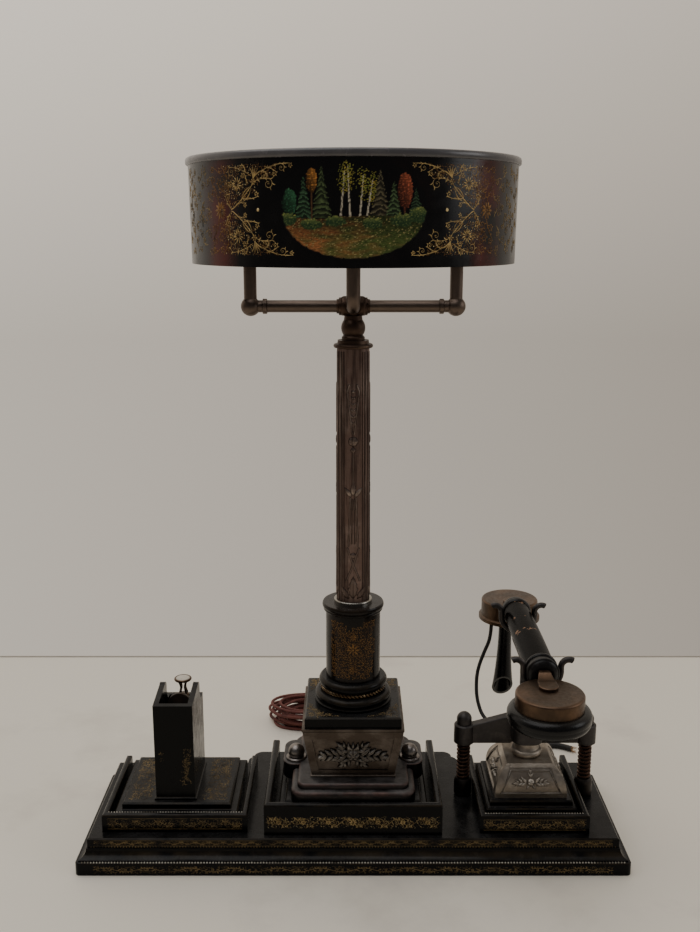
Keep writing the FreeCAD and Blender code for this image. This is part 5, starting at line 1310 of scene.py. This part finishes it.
def makeSpring(side, x, y, coil, wire, turns, perTurn, foot, top, closed):
    line, steps = [], perTurn * turns
    low, high = foot + wire, top - wire
    for i in range(steps + 1):
        t = min(1, max(0, (i / steps - closed) / (1 - 2 * closed)))
        line.append(Vector((*around(x, y, coil, fullTurn * i / perTurn), low + (high - low) * t)) * mm)
    name = "spring" + side.capitalize()
    mesh = meshOf(name, *tubeAlong(line, wire * mm, 8))
    piece = addPiece(name, mesh, "springRust", "spring_steel", rides=False)
    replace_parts(piece, "spring_" + side)
    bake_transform(piece)


for side, (x, y) in springs.items():
    makeSpring(side, x, y, **springShape)


# striker wand: a pale disc on bent legs over its collar and rod

wand = dict(x=-145.7, y=11.0, disc=(7.5, 132.8, 135.4), collar=(5.0, 117.8, 120.8), foot=55.5, legs=4, legAway=4.0,
            legBend=1.7, legRadius=0.9, legSteps=8)


def lathe(profile, x, y, sides=40):
    # profile of (radius, height) pairs, closed on the axis at both ends
    verts, faces, rings = [], [], []
    for radius, height in profile:
        count = sides if radius else 1
        rings.append([len(verts) + k % count for k in range(sides)])
        verts += [Vector((*around(x, y, radius, fullTurn * k / sides), height)) * mm for k in range(count)]
    for low, high in zip(rings, rings[1:]):
        for k in range(sides):
            n = (k + 1) % sides
            faces.append(tuple(dict.fromkeys((low[k], low[n], high[n], high[k]))))
    return verts, faces


def makeWand(x, y, disc, collar, foot, legs, legAway, legBend, legRadius, legSteps):
    radius, low, high = disc
    wide, under, over = collar
    parts = [lathe([(0, low), (radius - 2, low), (radius - 0.5, low + 0.3), (radius, low + 1.1),
                    (radius - 0.2, high - 0.7), (radius - 0.9, high - 0.2), (radius - 1.5, high - 0.6),
                    (0, high - 0.6)], x, y),
             lathe([(0, foot), (1.2, foot), (1.9, foot + 1.2), (1.9, under), (wide - 0.6, under), (wide, under + 0.8),
                    (wide, over - 0.9), (wide - 0.7, over), (0, over)], x, y)]
    for k in range(legs):
        line = []
        for i in range(legSteps + 1):
            t = i / legSteps
            spot = around(x, y, legAway - legBend * math.sin(math.pi * t) ** 2, fullTurn * (k + 0.5) / legs)
            line.append(Vector((*spot, over - 0.4 + (low + 0.8 - over) * t)) * mm)
        parts.append(tubeAlong(line, legRadius * mm, 8))
    piece = addPiece("strikerWand", meshOf("strikerWand", *joined(parts)), "wandMetal", "bright_metal", "wand")
    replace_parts(piece, "striker_wand")
    face = lathe([(0, high - 1.2), (radius - 1.7, high - 1.2), (radius - 1.5, high - 0.45), (radius - 2.6, high - 0.1),
                  (0, high)], x, y)
    addPiece("wandFace", meshOf("wandFace", *face), "discFace", "bright_metal", "wand")


makeWand(**wand)
print("springs and wand made")


# stage: a pale table, a paler wall beyond it, a darker room in front and a thin darker strip along the table's far
# edge, a painted shadow line

stage = {"edge": 0.37, "near": -1.5, "half": 2, "ledge": 0.0012, "wallLeft": (232, 222, 208),
         "wallRight": (196, 186, 173), "room": (95, 94, 95), "low": 0.76, "high": 1.2}
lights = {
    # place, aim, size and power
    "topLight": ((-0.4, -0.2, 1.7), (0, 0.05, 0.2), 1.6, 14),
    "sideLight": ((1.6, -0.3, 0.9), (0, 0, 0.2), 0.8, 4),
}


def addStage(name, verts, faces):
    thing = bpy.data.objects.new(name, meshOf(name, verts, faces, False))
    scene.collection.objects.link(thing)
    thing.data.materials.append(finishes[name])


def makeTable():
    half, edge, ledge = stage["half"], stage["edge"], stage["ledge"]
    addStage("tableTop", [(-half, stage["near"], 0), (half, stage["near"], 0), (half, edge, 0), (-half, edge, 0)],
             [(0, 1, 2, 3)])
    # a thin darker strip at the far edge: a painted shadow line where table meets wall
    low, high = edge - ledge / 2, edge + ledge / 2
    corners = ((low, 0), (high, 0), (high, ledge), (low, ledge))
    addStage("tableEdgeShadow", [(x, *corner) for x in (-half, half) for corner in corners],
             [(0, 1, 2, 3), (4, 5, 6, 7), (0, 1, 5, 4), (1, 2, 6, 5), (2, 3, 7, 6), (3, 0, 4, 7)])


def makeWorld():
    world = bpy.data.worlds.new("world")
    scene.world = world
    world.use_nodes = True
    tree = world.node_tree
    heading = split(tree, put(tree, "TexCoord").outputs["Generated"])
    wall = mix(tree, ramp(tree, heading["X"], -0.34, 0.34), tint(*stage["wallLeft"]), tint(*stage["wallRight"]))
    height = ramp(tree, heading["Z"], -0.1, 0.2, stage["low"], stage["high"])
    shaded = mix(tree, 1.0, wall, height, blend_type="MULTIPLY")
    away = ramp(tree, heading["Y"], -0.35, 0.55)
    feed(tree, tree.nodes["Background"], {"Color": mix(tree, away, tint(*stage["room"]), shaded)})


def areaLight(name, place, aim, size, power):
    data = bpy.data.lights.new(name, "AREA")
    data.size, data.energy = size, power
    lamp = bpy.data.objects.new(name, data)
    lamp.location = place
    lamp.rotation_euler = (Vector(aim) - Vector(place)).to_track_quat("-Z", "Y").to_euler()
    scene.collection.objects.link(lamp)


makeTable()
makeWorld()
for name, light in lights.items():
    areaLight(name, *light)
